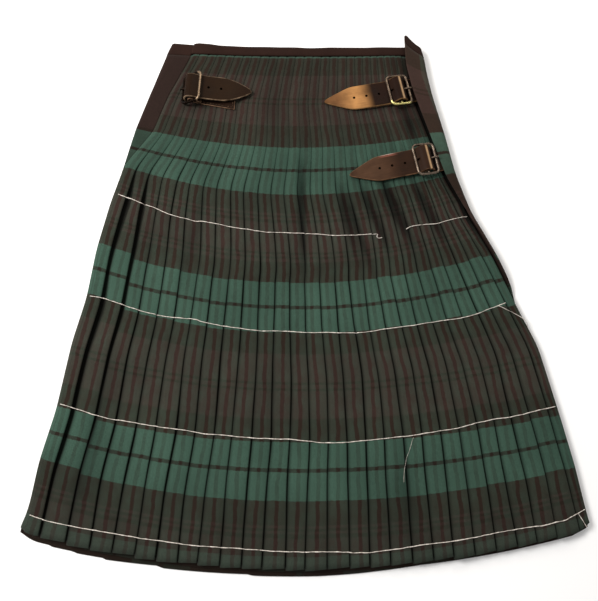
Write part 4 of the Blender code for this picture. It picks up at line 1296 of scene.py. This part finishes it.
# The pieces that lie loose. Their stitch is so long that they never dip between the pleats.
LOOSE_ENDS = {"first_hook", "second_end", "fourth_end", "stray"}
LOOSE_STITCH = 0.5


def cotton(name):
    """White twisted cotton."""
    made, tree, shader = wool(name, roughness=0.7)
    pale = blended(tree, speckle(tree, object_place(tree), 700.0, 2.0, 0.0, 1.0),
                   linear(160, 148, 138), linear(236, 228, 218))
    tree.links.new(pale, shader.inputs["Base Color"])
    return made


def thread_tree():
    """A loose twisted thread along a line: its radius, its wander and its seed."""
    tree, start, path = line_tree("thread", {"Radius": "Float", "Wander": "Float", "Seed": "Float"})
    path = node(tree, "GeometryNodeResampleCurve", {"Curve": path, "Length": 0.0016}, mode="LENGTH")
    where = node(tree, "GeometryNodeInputPosition").outputs[0]
    cloud = node(tree, "ShaderNodeTexNoise", {"Vector": where, "W": start["Seed"], "Scale": 85.0,
                 "Detail": 2.0}, noise_dimensions="4D")
    centred = node(tree, "ShaderNodeVectorMath", {0: cloud.outputs["Color"], 1: (0.5, 0.5, 0.5)},
                   operation="SUBTRACT")
    shift = node(tree, "ShaderNodeVectorMath", {0: centred.outputs[0], "Scale": start["Wander"]},
                 operation="SCALE")
    moved = node(tree, "GeometryNodeSetPosition", {"Geometry": path.outputs[0],
                 "Offset": shift.outputs[0]})
    lumps = node(tree, "ShaderNodeTexNoise", {"Vector": where, "Scale": 200.0, "Detail": 3.0})
    thickness = spread(tree, lumps.outputs["Fac"], 0.35, 0.75, 0.65, 1.9)
    uneven = node(tree, "GeometryNodeSetCurveRadius", {"Curve": moved.outputs[0],
                  "Radius": thickness})
    twisted = tube(tree, uneven.outputs[0], start["Radius"], 6, thickness)
    smooth = node(tree, "GeometryNodeSetShadeSmooth", {"Geometry": twisted})
    return coated(tree, start, smooth.outputs[0])


cloth_tops = []
for thing in (pleats_of_the_back, over_apron_cloth):
    form = bmesh.new()
    form.from_mesh(thing.data)
    cloth_tops.append(BVHTree.FromBMesh(form))
    form.free()


def top_of_cloth(x, y):
    """The height of the cloth under a point of the kilt."""
    found = [0.0]
    for top in cloth_tops:
        hit = top.ray_cast(Vector((x, y, 0.08)), Vector((0.0, 0.0, -1.0)), 0.1)
        if hit[0] is not None:
            found.append(hit[0].z)
    return max(found)


def over_pleats(points, lift, stitch, chance):
    """A line over the cloth through photo-plane points in millimetres, in uneven long stitches."""
    flat = np.array([(x * 0.001 - MIDDLE_OF_KILT.x, y * 0.001 - MIDDLE_OF_KILT.y, 0.0)
                     for x, y in points])
    flat = evenly(rounded(flat, 1), max(int(distances(flat)[-1] / 0.0016), 6))
    far = distances(flat)
    cuts, shifts = [0.0], [0.0]
    while cuts[-1] < far[-1]:
        cuts.append(cuts[-1] + chance.uniform(0.5, 1.5) * stitch)
        shifts.append(chance.uniform(-0.0008, 0.0008))
    flat[:, 1] += np.interp(far, cuts, shifts)
    high = np.array([top_of_cloth(x, y) for x, y, _ in flat])
    bridged = np.array([high[max(0, n - 4):n + 5].max() for n in range(len(high))])
    bridged = np.convolve(np.pad(bridged, 2, mode="edge"), np.ones(5) / 5, mode="valid")
    flat[:, 2] = np.maximum(bridged, high) + lift
    for cut in cuts[1:-1:2]:
        near = np.abs(far - cut) < 0.0008
        flat[near, 2] = high[near] - 0.0002
    return flat


cotton_white = cotton("tacking_cotton")
thread = thread_tree()
chance = np.random.default_rng(5)
for n, (label, points) in enumerate(BASTING_ROWS.items()):
    loose = label in LOOSE_ENDS
    thin = 0.32 if label == "stray" else 0.7 if loose else 1.0
    path = over_pleats(points, THREAD * 1.1, LOOSE_STITCH if loose else STITCH, chance)
    piece(grown(f"tacking_{label}", lines_of([path]), thread, radius=THREAD * thin, wander=0.0018,
                seed=n * 3.7, material=cotton_white))


# The sewing that stays in. The folds of the fell are slip-stitched down by hand with matching
# thread, and each tab is sewn to the pleats round its sides and end with waxed thread.

# The drops between which the folds are sewn, how long their stitches are and a tab's, and how far
# inside the tab's edge those lie
FELL_FROM, FELL_TO = 0.0180, 0.1330
FELL_STITCH = 0.0017
TAB_STITCH = 0.0027
FROM_TAB_EDGE = 0.0026

# The point on a pleat's fold that carries a stitch, and where the stitch lies from there
FOLD_POINT = 7
ON_FOLD = (0.00035, 0.0, 0.00040)


def sewing_thread(name, dark, light):
    """A twisted sewing thread."""
    made, tree, shader = wool(name, roughness=0.6)
    place = object_place(tree)
    shade = speckle(tree, place, 800.0, 2.0, 0.0, 1.0)
    twist = node(tree, "ShaderNodeTexWave", {"Vector": place, "Scale": 900.0},
                 bands_direction="DIAGONAL")
    finish(tree, shader, blended(tree, shade, linear(*dark), linear(*light)),
           twist.outputs["Fac"], 0.3, 0.0001)
    return made


def stitches_tree():
    """Single stitches along a line: how far apart, how long and thick, and how they lean."""
    tree, start, path = line_tree("stitches", {"Spacing": "Float", "Long": "Float",
                                  "Thick": "Float", "Lean": "Vector", "Seed": "Int"})
    spots = node(tree, "GeometryNodeCurveToPoints", {"Curve": path, "Length": start["Spacing"]},
                 mode="LENGTH")
    lean = node(tree, "ShaderNodeVectorMath", {0: spots.outputs["Tangent"], 1: start["Lean"]},
                operation="ADD")
    turn = node(tree, "FunctionNodeAlignRotationToVector", {"Vector": lean.outputs[0]}, axis="Z")
    bead = node(tree, "GeometryNodeMeshUVSphere", {"Segments": 6, "Rings": 4, "Radius": 0.5})
    size = node(tree, "ShaderNodeCombineXYZ", {"X": start["Thick"], "Y": start["Thick"],
                "Z": start["Long"]})
    stitch = node(tree, "GeometryNodeTransform", {"Geometry": bead.outputs[0],
                  "Scale": size.outputs[0]})
    smooth = node(tree, "GeometryNodeSetShadeSmooth", {"Geometry": stitch.outputs[0]})
    uneven = node(tree, "FunctionNodeRandomValue", {2: 0.75, 3: 1.15, "Seed": start["Seed"]})
    sewn = node(tree, "GeometryNodeInstanceOnPoints", {"Points": spots.outputs[0],
                "Instance": smooth.outputs[0], "Rotation": turn.outputs[0],
                "Scale": uneven.outputs[1]})
    return coated(tree, start, sewn.outputs[0])


stitches = stitches_tree()
matching_thread = sewing_thread("matching_thread", (24, 30, 26), (52, 58, 48))
waxed_thread = sewing_thread("waxed_thread", (48, 34, 24), (98, 76, 56))

on_fell = (drops > FELL_FROM) & (drops < FELL_TO)
fold_lines = [back_points[on_fell, SIDE_POINTS + POINTS_A_PLEAT * n + FOLD_POINT] + ON_FOLD
              - MIDDLE_OF_KILT for n in range(PLEATS - 1)]
piece(grown("fell_stitches", lines_of(fold_lines), stitches, spacing=0.0042, long=FELL_STITCH,
            thick=0.00036, lean=(1.1, 0.0, 0.0), seed=3, material=matching_thread))

for buckle in BUCKLES:
    half, end = buckle.tab_width / 2 - FROM_TAB_EDGE, -buckle.tab_length + FROM_TAB_EDGE
    corners = [(-0.0165, half), (end, half), (end, -half), (-0.0165, -half)]
    place = to_kilt @ placed_on_cloth(buckle)
    path = []
    for (x0, y0), (x1, y1) in zip(corners, corners[1:]):
        for share in np.linspace(0.0, 1.0, 12):
            x, y = x0 + (x1 - x0) * share, y0 + (y1 - y0) * share
            path.append(place @ Vector((x, y + tab_sideways(buckle, x), TAB + 0.00006)))
    piece(grown(f"{buckle.name}_tab_stitches", lines_of([path]), stitches, spacing=0.0036,
                long=TAB_STITCH, thick=0.00055, lean=(0.0, 0.0, 0.0), seed=8,
                material=waxed_thread))


# The floor, the studio light and the camera. The kilt lies on a plain pale floor, and the camera
# looks down on it from the hem's side.

# How steeply the camera looks down, in degrees, how far off it is, and what it looks at
CAMERA_RISE = 75.0
CAMERA_FAR = 0.690
AIM = Vector((0.0, 0.0, 0.010)) - MIDDLE_OF_KILT

floor_mesh = bpy.data.meshes.new("floor")
floor_mesh.from_pydata([(-4, -4, -0.0002), (4, -4, -0.0002), (4, 4, -0.0002), (-4, 4, -0.0002)],
                       [], [(0, 1, 2, 3)])
pale, _, _ = surface("pale_floor", {"Base Color": (0.93, 0.93, 0.93, 1.0), "Roughness": 0.9})
floor_mesh.materials.append(pale)
floor = in_scene("floor", floor_mesh)

world = bpy.data.worlds.new("studio")
world.use_nodes = True
world.node_tree.nodes["Background"].inputs["Color"].default_value = (1.0, 0.99, 0.985, 1.0)
world.node_tree.nodes["Background"].inputs["Strength"].default_value = 0.50
bpy.context.scene.world = world

# The lamps are square, and their sizes are in metres
Lamp = namedtuple("Lamp", "name place size watts colour")
LAMPS = [Lamp(*row) for row in (
    ("key", (-0.92, 0.24, 1.10), 0.5, 22.5, (1.0, 0.98, 0.955)),
    ("back", (0.25, 0.95, 0.95), 0.5, 5.0, (1.0, 0.94, 0.86)),
)]
for lamp in LAMPS:
    light = bpy.data.lights.new(lamp.name, "AREA")
    light.size = lamp.size
    light.energy = lamp.watts
    light.color = lamp.colour
    shining = in_scene(lamp.name, light)
    shining.location = lamp.place
    shining.rotation_euler = (-Vector(lamp.place)).to_track_quat("-Z", "Y").to_euler()

bpy.context.scene.view_settings.view_transform = "Standard"
lens = bpy.data.cameras.new("camera")
lens.lens = 37.14
lens.sensor_width = 36.0
camera = in_scene("camera", lens)
rise = math.radians(CAMERA_RISE)
camera.location = AIM + CAMERA_FAR * Vector((0.0, -math.cos(rise), math.sin(rise)))
camera.rotation_euler = (math.radians(90.0 - CAMERA_RISE), 0.0, 0.0)
bpy.context.scene.camera = camera
